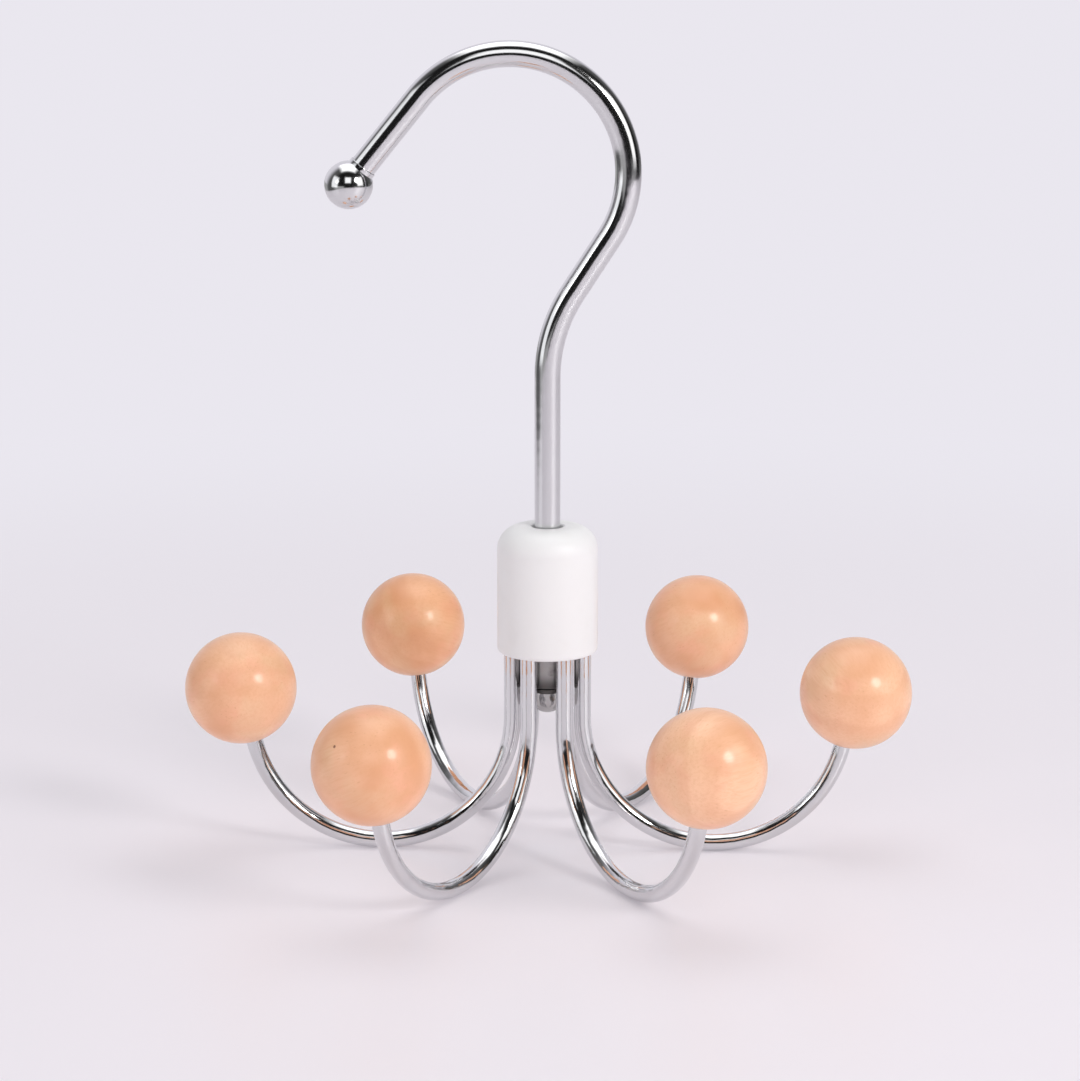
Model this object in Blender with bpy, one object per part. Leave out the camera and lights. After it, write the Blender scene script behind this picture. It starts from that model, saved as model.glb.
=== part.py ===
"""Rotating multi-hook hanger.

A bent wire hook turns in a bush under a moulded cap. Bent wire arms stand in a ring round the bush,
and each ends in a wooden ball. Metres, +Z up. The origin lies on the swivel axis, at the level of
the surface that the arms' bends stand on. The hook opens towards -X, and the first arm points to +X.
"""

import math

import bmesh
import bpy
from mathutils import Matrix, Vector

MM = 0.001

# Clearances
SEAT_GAP = 0.3 * MM  # between pieces that are welded, pressed or glued together
RUNNING_GAP = 0.1 * MM  # all round the stem in the bush
THRUST_GAP = 0.2 * MM  # along the stem, at each end of the bush

# Arms
ARM_COUNT = 6
ARM_WIRE_DIAMETER = 3.3 * MM
ARM_BEND_RADIUS = 25.7 * MM  # of the wire's centre line
ARM_BEND_TURN = 167.0  # degrees
ARM_TIP_SHOWING = 0.2 * MM  # straight wire between the bend and the ball

# Wooden balls
BALL_DIAMETER = 22.0 * MM
BALL_SOCKET_DEPTH = 9.0 * MM

# Bush that the arms are welded to
BUSH_WALL = 2.3 * MM
BUSH_SHOWING = 6.7 * MM  # below the cap's rim
BUSH_CHAMFER = 0.3 * MM

# Moulded cap
CAP_WALL = 0.95 * MM
CAP_HEIGHT = 24.8 * MM
CAP_ROOF = 2.4 * MM
CAP_SHOULDER_RADIUS = 4.6 * MM
CAP_INNER_CORNER_RADIUS = 2.0 * MM
CAP_RIM_LAND = 0.2 * MM  # flat left at the rounded rim
CAP_RIM_ROUND_HEIGHT = 2.0 * MM
CAP_HOLE_GAP = 0.55 * MM  # all round the stem
CAP_HOLE_EDGE_RADIUS = 0.4 * MM
CAP_ABOVE_BEND = 13.3 * MM  # straight arm between the bend and the cap's rim

# Swivel fittings on the stem
COLLAR_HEIGHT = 3.0 * MM
COLLAR_HEADROOM = 1.2 * MM  # under the cap's roof
COLLAR_CHAMFER = 0.4 * MM
FITTING_SETBACK = 0.5 * MM  # how far the collar and the washers stay inside the bush's edge
WASHER_THICKNESS = 0.8 * MM
WASHER_CHAMFER = 0.1 * MM
END_CAP_DIAMETER = 6.4 * MM
END_CAP_SKIRT = 1.3 * MM  # straight side above its dome
SPIGOT_DIAMETER = 3.2 * MM
SPIGOT_IN_END_CAP = 2.6 * MM

# Hook
HOOK_WIRE_DIAMETER = 5.0 * MM
HOOK_SHANK = 29.0 * MM  # straight stem above the cap
NECK_BEND_RADIUS = 30.0 * MM  # bend radii are of the wire's centre line
NECK_BEND_TURN = 33.0  # degrees
NECK_RUN = 12.5 * MM
LOOP_BEND_RADIUS = 22.3 * MM
LOOP_BEND_TURN = 174.0  # degrees
TIP_RUN = 16.4 * MM  # straight wire up to the tip ball
TIP_BALL_DIAMETER = 9.2 * MM
TIP_SOCKET_DEPTH = 3.2 * MM

# Fineness of the meshes
ARM_SIDES = 12
HOOK_SIDES = 16
BEND_STEP = 5.0  # degrees turned from one ring of a bent wire to the next
BALL_SEGMENTS = 24
BALL_ARC_STEPS = 10
CAP_SEGMENTS = 40
CAP_SHOULDER_STEPS = 7
CAP_EDGE_STEPS = 4
CAP_HOLE_EDGE_STEPS = 3
FITTING_SEGMENTS = 36
DOME_STEPS = 7
SHARP_EDGE = math.radians(35.0)
WELD_DISTANCE = 0.000001

# Radii that follow from the sizes above, from the swivel axis outwards
ARM_RADIUS = ARM_WIRE_DIAMETER / 2
STEM_RADIUS = HOOK_WIRE_DIAMETER / 2
SPIGOT_RADIUS = SPIGOT_DIAMETER / 2
BUSH_BORE_RADIUS = STEM_RADIUS + RUNNING_GAP
BUSH_RADIUS = BUSH_BORE_RADIUS + BUSH_WALL
FITTING_RADIUS = BUSH_RADIUS - FITTING_SETBACK
ARM_RING_RADIUS = BUSH_RADIUS + SEAT_GAP + ARM_RADIUS
CAP_BORE_RADIUS = ARM_RING_RADIUS + ARM_RADIUS + SEAT_GAP
CAP_RADIUS = CAP_BORE_RADIUS + CAP_WALL
CAP_HOLE_RADIUS = STEM_RADIUS + CAP_HOLE_GAP

# Heights that follow from the sizes above. One step of each bend lies level and is the arm's foot.
ARM_FOOT_DROP = ARM_BEND_RADIUS + ARM_RADIUS * math.cos(math.pi / ARM_SIDES)
BEND_CENTRE_Z = ARM_FOOT_DROP * math.cos(math.radians(BEND_STEP / 2))
CAP_RIM_Z = BEND_CENTRE_Z + CAP_ABOVE_BEND
CAP_TOP_Z = CAP_RIM_Z + CAP_HEIGHT
CAP_ROOF_Z = CAP_TOP_Z - CAP_ROOF
COLLAR_Z = CAP_ROOF_Z - COLLAR_HEADROOM - COLLAR_HEIGHT
UPPER_WASHER_Z = COLLAR_Z - THRUST_GAP - WASHER_THICKNESS
BUSH_TOP_Z = UPPER_WASHER_Z - THRUST_GAP
BUSH_Z = CAP_RIM_Z - BUSH_SHOWING
LOWER_WASHER_Z = BUSH_Z - THRUST_GAP - WASHER_THICKNESS
END_CAP_TOP_Z = LOWER_WASHER_Z - SEAT_GAP
SPIGOT_END_Z = END_CAP_TOP_Z - SPIGOT_IN_END_CAP

UP = Vector((0.0, 0.0, 1.0))
DOWN = -UP


class BentWire:
    """A round wire shaped as on a wire former: fed straight, bent round a former and cut off.

    It lies in the XZ plane. A positive bend turns the heading from +Z towards +X.
    """

    def __init__(self, radius, sides, start, heading):
        self.mesh = bmesh.new()
        self.radius = radius
        self.position = Vector(start)
        self.heading = heading.copy()
        verts = bmesh.ops.create_circle(self.mesh, segments=sides, radius=radius)["verts"]
        flat_side_out = Matrix.Rotation(math.pi / sides, 4, "Z")
        along_heading = UP.rotation_difference(self.heading).to_matrix().to_4x4()
        placed = Matrix.Translation(self.position) @ along_heading @ flat_side_out
        bmesh.ops.transform(self.mesh, matrix=placed, verts=verts)
        self.ring = list(self.mesh.edges)

    def ring_verts(self):
        return list(dict.fromkeys(vert for edge in self.ring for vert in edge.verts))

    def extrude_ring(self):
        made = bmesh.ops.extrude_edge_only(self.mesh, edges=self.ring)["geom"]
        new_verts = {item for item in made if isinstance(item, bmesh.types.BMVert)}
        edges = [item for item in made if isinstance(item, bmesh.types.BMEdge)]
        self.ring = [edge for edge in edges if set(edge.verts) <= new_verts]

    def feed(self, length):
        self.extrude_ring()
        bmesh.ops.translate(self.mesh, vec=self.heading * length, verts=self.ring_verts())
        self.position += self.heading * length

    def bend(self, radius, degrees, steps=None):
        steps = steps or max(1, round(abs(degrees) / BEND_STEP))
        angle = math.radians(degrees)
        side = Matrix.Rotation(math.copysign(math.pi / 2, degrees), 3, "Y") @ self.heading
        centre = self.position + side * radius
        made = bmesh.ops.spin(
            self.mesh,
            geom=self.ring_verts() + self.ring,
            cent=centre,
            axis=(0.0, 1.0, 0.0),
            angle=angle,
            steps=steps,
        )["geom_last"]
        self.ring = [item for item in made if isinstance(item, bmesh.types.BMEdge)]
        turn = Matrix.Rotation(angle, 3, "Y")
        self.position = centre + turn @ (self.position - centre)
        self.heading = turn @ self.heading

    def step_to(self, radius):
        """Leave a square shoulder and go on at another radius."""
        self.extrude_ring()
        share = radius / self.radius
        about = Matrix.Translation(-self.position)
        bmesh.ops.scale(self.mesh, vec=(share,) * 3, space=about, verts=self.ring_verts())
        self.radius = radius

    def cut_off(self, name):
        open_edges = [edge for edge in self.mesh.edges if edge.is_boundary]
        bmesh.ops.holes_fill(self.mesh, edges=open_edges, sides=0)
        return finished_mesh(name, self.mesh)


def finished_mesh(name, working):
    """Turn a working mesh into a smooth-shaded one with its faces pointing out."""
    bmesh.ops.recalc_face_normals(working, faces=working.faces)
    mesh = bpy.data.meshes.new(name)
    working.to_mesh(mesh)
    working.free()
    mesh.shade_smooth()
    mesh.set_sharp_from_angle(angle=SHARP_EDGE)
    return mesh


def turned_mesh(name, outline, segments):
    """Turn an outline of (radius, height) points round +Z. It is closed, or ends on the axis."""
    working = bmesh.new()
    verts = [working.verts.new((radius, 0.0, height)) for radius, height in outline]
    pairs = list(zip(verts, verts[1:]))
    if outline[0][0] > 0.0:
        pairs.append((verts[-1], verts[0]))
    edges = [working.edges.new(pair) for pair in pairs]
    bmesh.ops.spin(
        working,
        geom=verts + edges,
        cent=(0.0, 0.0, 0.0),
        axis=UP,
        angle=math.tau,
        steps=segments,
        use_merge=True,
    )
    bmesh.ops.remove_doubles(working, verts=working.verts, dist=WELD_DISTANCE)
    return finished_mesh(name, working)


def arc(centre, radii, start, end, steps):
    """Points of an ellipse's arc, from the start angle to the end angle in degrees, both included."""
    points = []
    for index in range(steps + 1):
        angle = math.radians(start + (end - start) * index / steps)
        across = centre[0] + radii[0] * math.cos(angle)
        height = centre[1] + radii[1] * math.sin(angle)
        points.append((across, height))
    return points


def ring_outline(bore, radius, height, chamfer):
    """Outline of a ring with its outer edges chamfered, standing on height 0."""
    return [
        (bore, 0.0),
        (radius - chamfer, 0.0),
        (radius, chamfer),
        (radius, height - chamfer),
        (radius - chamfer, height),
        (bore, height),
    ]


def socketed_ball_outline(ball_radius, socket_radius, socket_depth):
    """Outline of a ball centred on the origin, with a blind socket that opens downwards."""
    socket_end = -(ball_radius - socket_depth)
    mouth_angle = -90.0 + math.degrees(math.asin(socket_radius / ball_radius))
    skin = arc((0.0, 0.0), (ball_radius, ball_radius), mouth_angle, 90.0, BALL_ARC_STEPS)
    skin[-1] = (0.0, ball_radius)
    return [(0.0, socket_end), (socket_radius, socket_end)] + skin


def cap_outline():
    """Outline of the moulded cap, from its rim up the outside and back down the inside."""
    rim_width = CAP_WALL - CAP_RIM_LAND
    rim_centre = (CAP_RADIUS - rim_width, CAP_RIM_ROUND_HEIGHT)
    rim = arc(rim_centre, (rim_width, CAP_RIM_ROUND_HEIGHT), -90.0, 0.0, CAP_EDGE_STEPS)
    shoulder_centre = (CAP_RADIUS - CAP_SHOULDER_RADIUS, CAP_HEIGHT - CAP_SHOULDER_RADIUS)
    shoulder_radii = (CAP_SHOULDER_RADIUS, CAP_SHOULDER_RADIUS)
    shoulder = arc(shoulder_centre, shoulder_radii, 0.0, 90.0, CAP_SHOULDER_STEPS)
    edge_centre = (CAP_HOLE_RADIUS + CAP_HOLE_EDGE_RADIUS, CAP_HEIGHT - CAP_HOLE_EDGE_RADIUS)
    edge_radii = (CAP_HOLE_EDGE_RADIUS, CAP_HOLE_EDGE_RADIUS)
    hole_edge = arc(edge_centre, edge_radii, 90.0, 180.0, CAP_HOLE_EDGE_STEPS)
    roof = CAP_HEIGHT - CAP_ROOF
    corner_centre = (CAP_BORE_RADIUS - CAP_INNER_CORNER_RADIUS, roof - CAP_INNER_CORNER_RADIUS)
    corner_radii = (CAP_INNER_CORNER_RADIUS, CAP_INNER_CORNER_RADIUS)
    inner_corner = arc(corner_centre, corner_radii, 90.0, 0.0, CAP_EDGE_STEPS)
    return [
        (CAP_BORE_RADIUS, 0.0),
        *rim,
        *shoulder,
        *hole_edge,
        (CAP_HOLE_RADIUS, roof),
        *inner_corner,
    ]


def arm_top_z():
    """Where the arms end, just under the rounded corner inside the cap."""
    corner_centre_radius = CAP_BORE_RADIUS - CAP_INNER_CORNER_RADIUS
    across = max(0.0, ARM_RING_RADIUS + ARM_RADIUS - corner_centre_radius)
    rise = math.sqrt(CAP_INNER_CORNER_RADIUS**2 - across**2)
    return CAP_ROOF_Z - CAP_INNER_CORNER_RADIUS + rise - SEAT_GAP


def end_cap_outline():
    """Outline of the domed end cap, its top at height 0, with a blind socket for the spigot."""
    radius = END_CAP_DIAMETER / 2
    socket_radius = SPIGOT_RADIUS + SEAT_GAP
    socket_end = -(SPIGOT_IN_END_CAP + SEAT_GAP)
    dome = arc((0.0, -END_CAP_SKIRT), (radius, radius), -90.0, 0.0, DOME_STEPS)
    dome[0] = (0.0, -END_CAP_SKIRT - radius)
    return [*dome, (radius, 0.0), (socket_radius, 0.0), (socket_radius, socket_end), (0.0, socket_end)]


def surface(name, colour, roughness, metallic):
    """A plain material of one linear colour."""
    material = bpy.data.materials.new(name)
    material.use_nodes = True
    shader = material.node_tree.nodes["Principled BSDF"]
    shader.inputs["Base Color"].default_value = (*colour, 1.0)
    shader.inputs["Roughness"].default_value = roughness
    shader.inputs["Metallic"].default_value = metallic
    return material


def add_axis(name, parent=None, height=0.0, turn=0.0):
    """An empty on the swivel axis, turned about it."""
    axis = bpy.data.objects.new(name, None)
    bpy.context.scene.collection.objects.link(axis)
    axis.parent = parent
    axis.location.z = height
    axis.rotation_euler.z = turn
    return axis


def add_piece(name, mesh, material, parent, location=(0.0, 0.0, 0.0), tilt=0.0):
    """A named object, placed in its parent's frame and tilted about +Y."""
    piece = bpy.data.objects.new(name, mesh)
    bpy.context.scene.collection.objects.link(piece)
    if not mesh.materials:
        mesh.materials.append(material)
    piece.parent = parent
    piece.location = location
    piece.rotation_euler.y = tilt
    return piece


def add_fitting(name, outline, material, parent, height):
    """A turned piece on the swivel axis, its own height 0 at the given height."""
    mesh = turned_mesh(name, outline, FITTING_SEGMENTS)
    on_axis = (0.0, 0.0, height - parent.location.z)
    return add_piece(name, mesh, material, parent, on_axis)


def tilt_of(heading):
    """Angle about +Y that turns +Z into the heading."""
    return math.atan2(heading.x, heading.z)


def add_bush(carrier, steel):
    outline = ring_outline(BUSH_BORE_RADIUS, BUSH_RADIUS, BUSH_TOP_Z - BUSH_Z, BUSH_CHAMFER)
    add_fitting("centre_bush", outline, steel, carrier, BUSH_Z)


def add_cap(carrier, white_plastic):
    mesh = turned_mesh("hub_cover", cap_outline(), CAP_SEGMENTS)
    add_piece("hub_cover", mesh, white_plastic, carrier, (0.0, 0.0, CAP_RIM_Z))


def arm_wire():
    """The first arm: down beside the bush, round the bend over its level foot, and into the ball."""
    top = arm_top_z()
    wire = BentWire(ARM_RADIUS, ARM_SIDES, (ARM_RING_RADIUS, 0.0, top), DOWN)
    wire.feed(top - BEND_CENTRE_Z)
    wire.bend(ARM_BEND_RADIUS, -(90.0 - BEND_STEP / 2))
    wire.bend(ARM_BEND_RADIUS, -BEND_STEP, steps=1)
    wire.bend(ARM_BEND_RADIUS, -(ARM_BEND_TURN - 90.0 - BEND_STEP / 2))
    wire.feed(ARM_TIP_SHOWING + BALL_SOCKET_DEPTH)
    return wire


def add_arms(carrier, chrome, wood):
    """The arms and their balls, each pair on its own axis turned round the hub."""
    wire = arm_wire()
    ball_radius = BALL_DIAMETER / 2
    ball_centre = wire.position + wire.heading * (ball_radius - BALL_SOCKET_DEPTH)
    ball_tilt = tilt_of(wire.heading)
    arm_mesh = wire.cut_off("arm")
    socket = (ARM_RADIUS + SEAT_GAP, BALL_SOCKET_DEPTH + SEAT_GAP)
    ball_outline = socketed_ball_outline(ball_radius, *socket)
    ball_mesh = turned_mesh("ball", ball_outline, BALL_SEGMENTS)
    for number in range(1, ARM_COUNT + 1):
        turn = math.tau * (number - 1) / ARM_COUNT
        station = add_axis(f"arm_station_{number}", carrier, turn=turn)
        add_piece(f"arm_{number}", arm_mesh, chrome, station)
        add_piece(f"ball_{number}", ball_mesh, wood, station, ball_centre, ball_tilt)


def hook_wire():
    """The hook: spigot, stem, neck and loop, ending inside the tip ball."""
    wire = BentWire(SPIGOT_RADIUS, HOOK_SIDES, (0.0, 0.0, SPIGOT_END_Z), UP)
    wire.feed(BUSH_Z - SPIGOT_END_Z)
    wire.step_to(STEM_RADIUS)
    wire.feed(CAP_TOP_Z + HOOK_SHANK - BUSH_Z)
    wire.bend(NECK_BEND_RADIUS, NECK_BEND_TURN)
    wire.feed(NECK_RUN)
    wire.bend(LOOP_BEND_RADIUS, -LOOP_BEND_TURN)
    wire.feed(TIP_RUN + TIP_SOCKET_DEPTH)
    return wire


def add_hook(swivel, chrome):
    wire = hook_wire()
    on_axis = Vector((0.0, 0.0, -swivel.location.z))
    ball_radius = TIP_BALL_DIAMETER / 2
    ball_centre = wire.position + wire.heading * (ball_radius - TIP_SOCKET_DEPTH)
    ball_tilt = tilt_of(wire.heading)
    add_piece("hook_wire", wire.cut_off("hook_wire"), chrome, swivel, on_axis)
    socket = (STEM_RADIUS + SEAT_GAP, TIP_SOCKET_DEPTH + SEAT_GAP)
    outline = socketed_ball_outline(ball_radius, *socket)
    mesh = turned_mesh("hook_tip_ball", outline, BALL_SEGMENTS)
    add_piece("hook_tip_ball", mesh, chrome, swivel, ball_centre + on_axis, ball_tilt)


def add_swivel_fittings(swivel, chrome, steel):
    """What holds the stem in the bush: a pressed collar above, a washer and a riveted cap below."""
    pressed_bore = STEM_RADIUS + SEAT_GAP
    collar = ring_outline(pressed_bore, FITTING_RADIUS, COLLAR_HEIGHT, COLLAR_CHAMFER)
    add_fitting("stop_collar", collar, steel, swivel, COLLAR_Z)
    upper = ring_outline(pressed_bore, FITTING_RADIUS, WASHER_THICKNESS, WASHER_CHAMFER)
    add_fitting("upper_washer", upper, steel, swivel, UPPER_WASHER_Z)
    spigot_bore = SPIGOT_RADIUS + SEAT_GAP
    lower = ring_outline(spigot_bore, FITTING_RADIUS, WASHER_THICKNESS, WASHER_CHAMFER)
    add_fitting("lower_washer", lower, steel, swivel, LOWER_WASHER_Z)
    add_fitting("end_cap", end_cap_outline(), chrome, swivel, END_CAP_TOP_Z)


def main():
    for leftover in list(bpy.data.objects):
        bpy.data.objects.remove(leftover, do_unlink=True)
    chrome = surface("chrome", (0.80, 0.80, 0.82), 0.08, 1.0)
    dark_steel = surface("dark_steel", (0.16, 0.155, 0.15), 0.35, 1.0)
    white_plastic = surface("white_plastic", (0.86, 0.85, 0.85), 0.45, 0.0)
    wood = surface("wood", (0.87, 0.456, 0.287), 0.4, 0.0)
    carrier = add_axis("carrier")
    swivel = add_axis("hook_swivel", height=BUSH_Z)
    add_bush(carrier, dark_steel)
    add_cap(carrier, white_plastic)
    add_arms(carrier, chrome, wood)
    add_hook(swivel, chrome)
    add_swivel_fittings(swivel, chrome, dark_steel)


if __name__ == "__main__":
    main()
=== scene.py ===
"""Looks of the rotating multi-hook hanger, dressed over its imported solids.

A chrome wire hook turns in a white capped hub. Six chrome wire arms leave the hub's underside in
a ring, and each bends up into a lacquered wooden ball. Metres, +Z up, in the frame of the solids.
"""

import logging
import math
import random
from collections.abc import Mapping, Sequence
from dataclasses import dataclass, field
from enum import Enum
from functools import cached_property
from typing import Any, ClassVar, Protocol

import bmesh
import bpy
from mathutils import Euler, Matrix, Quaternion, Vector


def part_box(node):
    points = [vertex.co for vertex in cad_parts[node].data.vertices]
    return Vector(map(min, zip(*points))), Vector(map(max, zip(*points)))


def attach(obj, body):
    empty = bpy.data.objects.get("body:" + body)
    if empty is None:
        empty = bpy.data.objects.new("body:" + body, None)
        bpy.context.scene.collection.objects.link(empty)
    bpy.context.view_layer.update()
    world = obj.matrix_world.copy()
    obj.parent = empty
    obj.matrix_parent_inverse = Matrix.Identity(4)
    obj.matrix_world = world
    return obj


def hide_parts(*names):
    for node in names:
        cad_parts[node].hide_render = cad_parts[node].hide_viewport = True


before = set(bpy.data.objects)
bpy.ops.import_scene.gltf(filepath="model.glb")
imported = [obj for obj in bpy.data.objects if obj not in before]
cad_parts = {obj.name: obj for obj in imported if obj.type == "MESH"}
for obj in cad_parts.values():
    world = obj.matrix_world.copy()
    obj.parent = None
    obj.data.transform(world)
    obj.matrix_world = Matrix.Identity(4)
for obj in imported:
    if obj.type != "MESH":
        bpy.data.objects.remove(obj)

LOG = logging.getLogger("hanger")
MM = 0.001
PER_MM = 1000.0
PLACE = "surface_place"  # attribute that carries a pattern's own coordinates, in metres
SHARP_EDGE = math.radians(35.0)
WELD_DISTANCE = 1e-7
EDGE_STEPS = 6  # steps round a small eased edge
UNMOVED = Matrix.Identity(4)
FULL = (0.0, 1.0)  # the whole range of a mask

Point = tuple[float, float]
Range = tuple[float, float]
Triple = tuple[float, float, float]
Colour = tuple[float, float, float]
Socket = bpy.types.NodeSocket
Feed = Socket | bpy.types.ID | Vector | float | int | bool | str | Sequence[float]
Feeds = Mapping[str, Feed] | Mapping[int, Feed]


class Body(Enum):
    """The two bodies of the swivel."""

    CARRIER = "carrier"
    HOOK = "hook"


class Slot(Enum):
    """The record's material slots."""

    CHROME = "chrome"
    DARK_STEEL = "dark_steel"
    WHITE_PLASTIC = "white_plastic"
    WOOD = "wood"


class SocketKind(Enum):
    """Kinds of socket that the trees' interfaces use."""

    FLOAT = "NodeSocketFloat"
    INT = "NodeSocketInt"
    VECTOR = "NodeSocketVector"
    MATERIAL = "NodeSocketMaterial"
    GEOMETRY = "NodeSocketGeometry"


def opaque(colour: Colour) -> tuple[float, ...]:
    """A colour with its alpha."""
    return (*colour, 1.0)


def grey(shade: float) -> tuple[float, ...]:
    """A grey with its alpha."""
    return (shade, shade, shade, 1.0)


class Wiring:
    """Adds nodes to one shader or geometry tree and joins them up."""

    def __init__(self, tree: bpy.types.NodeTree) -> None:
        """Work on a tree."""
        self.tree = tree

    def feed(self, node: bpy.types.Node, feeds: Feeds) -> None:
        """Link a node's inputs to other sockets, or set their own values.

        Args:
            node: The node to feed.
            feeds: What goes into its inputs, by name or number.
        """
        for name, value in feeds.items():
            if isinstance(value, Socket):
                self.tree.links.new(value, node.inputs[name])
            else:
                node.inputs[name].default_value = value

    def add(self, kind: str, feeds: Feeds | None = None, **settings: Any) -> bpy.types.Node:
        """Add a node.

        Args:
            kind: Blender's name of the node's type.
            feeds: What goes into its inputs, by name or number.
            **settings: The node's own properties.

        Returns:
            The new node.
        """
        node = self.tree.nodes.new(kind)
        for name, setting in settings.items():
            setattr(node, name, setting)
        self.feed(node, feeds or {})
        return node

    def result(self, kind: str, feeds: Feeds | None = None, **settings: Any) -> Socket:
        """Add a node as add does, and return its first output."""
        return self.add(kind, feeds, **settings).outputs[0]

    def math(self, operation: str, *values: Feed) -> Socket:
        """Add a Math node and return its result."""
        return self.result("ShaderNodeMath", dict(enumerate(values)), operation=operation)

    def vector_math(self, operation: str, *values: Feed) -> Socket:
        """Add a Vector Math node and return its vector."""
        return self.result("ShaderNodeVectorMath", dict(enumerate(values)), operation=operation)

    def measure(self, operation: str, *values: Feed) -> Socket:
        """Add a Vector Math node and return its number, such as a length."""
        node = self.add("ShaderNodeVectorMath", dict(enumerate(values)), operation=operation)
        return node.outputs["Value"]

    def combine(self, x: Feed, y: Feed, z: Feed) -> Socket:
        """Join three numbers to a vector."""
        return self.result("ShaderNodeCombineXYZ", {0: x, 1: y, 2: z})

    def split(self, vector: Feed) -> Sequence[Socket]:
        """Split a vector into its three numbers."""
        return self.add("ShaderNodeSeparateXYZ", {0: vector}).outputs

    def remap(
        self, value: Feed, source: tuple[Feed, Feed], target: Range = FULL, smooth: bool = False
    ) -> Socket:
        """Carry a value from one range to another, held inside it.

        Args:
            value: The number or socket to carry over.
            source: Where its range starts and ends.
            target: What these become.
            smooth: Whether to ease in and out.

        Returns:
            The carried value.
        """
        feeds = dict(enumerate((value, *source, *target)))
        easing = "SMOOTHSTEP" if smooth else "LINEAR"
        return self.result("ShaderNodeMapRange", feeds, interpolation_type=easing)

    def noise(self, vector: Feed, scale: Feed, detail: float = 2.0) -> Socket:
        """Add a Noise Texture and return its value, from about 0 to 1."""
        feeds = {"Vector": vector, "Scale": scale, "Detail": detail}
        return self.result("ShaderNodeTexNoise", feeds)

    def blend(self, share: Feed, first: Feed, second: Feed) -> Socket:
        """Mix two colours by a share of the second."""
        feeds = {0: share, 6: first, 7: second}
        return self.add("ShaderNodeMix", feeds, data_type="RGBA", clamp_factor=True).outputs[2]

    def shine(self, colour: Feed) -> Socket:
        """Add an Emission shader of full strength."""
        return self.result("ShaderNodeEmission", {"Color": colour, "Strength": 1.0})

    def blend_shaders(self, share: Feed, first: Feed, second: Feed) -> Socket:
        """Mix two shaders by a share of the second."""
        return self.result("ShaderNodeMixShader", {0: share, 1: first, 2: second})

    def switch(self, test: Feed, otherwise: Feed, if_so: Feed) -> Socket:
        """Choose between two numbers by a test, in a geometry tree."""
        feeds = {0: test, 1: otherwise, 2: if_so}
        return self.result("GeometryNodeSwitch", feeds, input_type="FLOAT")

    def capture(self, geometry: Feed, kind: str, name: str, value: Feed) -> tuple[Socket, Socket]:
        """Hold a value on each point of a geometry.

        Args:
            geometry: The geometry.
            kind: Blender's name of the value's type.
            name: The value's name on the node.
            value: The value.

        Returns:
            The geometry, and the value that it holds.
        """
        node = self.add("GeometryNodeCaptureAttribute")
        node.capture_items.new(kind, name)
        self.feed(node, {0: geometry, 1: value})
        return node.outputs[0], node.outputs[1]

    def opening(self, name: str, kind: SocketKind, value: Feed | None = None) -> None:
        """Give the tree's interface an input.

        Args:
            name: The input's name.
            kind: What it takes.
            value: Its usual value, if it has one.
        """
        socket = self.tree.interface.new_socket(name, in_out="INPUT", socket_type=kind.value)
        if value is not None:
            socket.default_value = value

    def outlet(self, name: str, kind: SocketKind) -> None:
        """Give the tree's interface an output."""
        self.tree.interface.new_socket(name, in_out="OUTPUT", socket_type=kind.value)


# Shader groups that more than one finish uses


class ShaderGroup(Enum):
    """The shared effects, by the name of their node group."""

    FINE_LINES = "fine_lines"
    HANDLING_FILM = "handling_film"
    SOFT_WAVES = "soft_waves"


def start_group(
    group: ShaderGroup, inputs: Mapping[str, Feed], output: str
) -> tuple[Wiring, bpy.types.NodeOutputs]:
    """Start a shader group that works on a piece's own coordinates.

    Args:
        group: Which effect it is.
        inputs: Its numbers and vectors, with their usual values.
        output: Name of the one number that it puts out.

    Returns:
        The group's wiring, and its inputs as sockets by name.
    """
    wiring = Wiring(bpy.data.node_groups.new(group.value, "ShaderNodeTree"))
    wiring.opening("Coordinates", SocketKind.VECTOR)
    for name, value in inputs.items():
        kind = SocketKind.FLOAT if isinstance(value, float) else SocketKind.VECTOR
        wiring.opening(name, kind, value)
    wiring.outlet(output, SocketKind.FLOAT)
    return wiring, wiring.add("NodeGroupInput").outputs


@dataclass(frozen=True)
class FineLinesGroup:
    """Lines drawn out along one axis: draw marks on wire, turning marks on steel, wood fibres."""

    coarse_share: float = 0.55
    coarse_detail: float = 3.0
    fine_share: float = 0.45
    fine_scale: float = 3.7
    middle: float = 0.5

    def build(self) -> None:
        """Build the group."""
        inputs = {"Stretch": (1.0, 1.0, 1.0), "Contrast": 1.0}
        wiring, source = start_group(ShaderGroup.FINE_LINES, inputs, "Lines")
        drawn = wiring.vector_math("MULTIPLY", source["Coordinates"], source["Stretch"])
        coarse = wiring.noise(drawn, 1.0, self.coarse_detail)
        coarse = wiring.math("MULTIPLY", coarse, self.coarse_share)
        fine = wiring.noise(drawn, self.fine_scale)
        both = wiring.math("MULTIPLY_ADD", fine, self.fine_share, coarse)
        centred = wiring.math("SUBTRACT", both, self.middle)
        spread = wiring.math("MULTIPLY_ADD", centred, source["Contrast"], self.middle)
        held = wiring.math("MAXIMUM", wiring.math("MINIMUM", spread, 1.0), 0.0)
        wiring.add("NodeGroupOutput", {"Lines": held})


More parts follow.
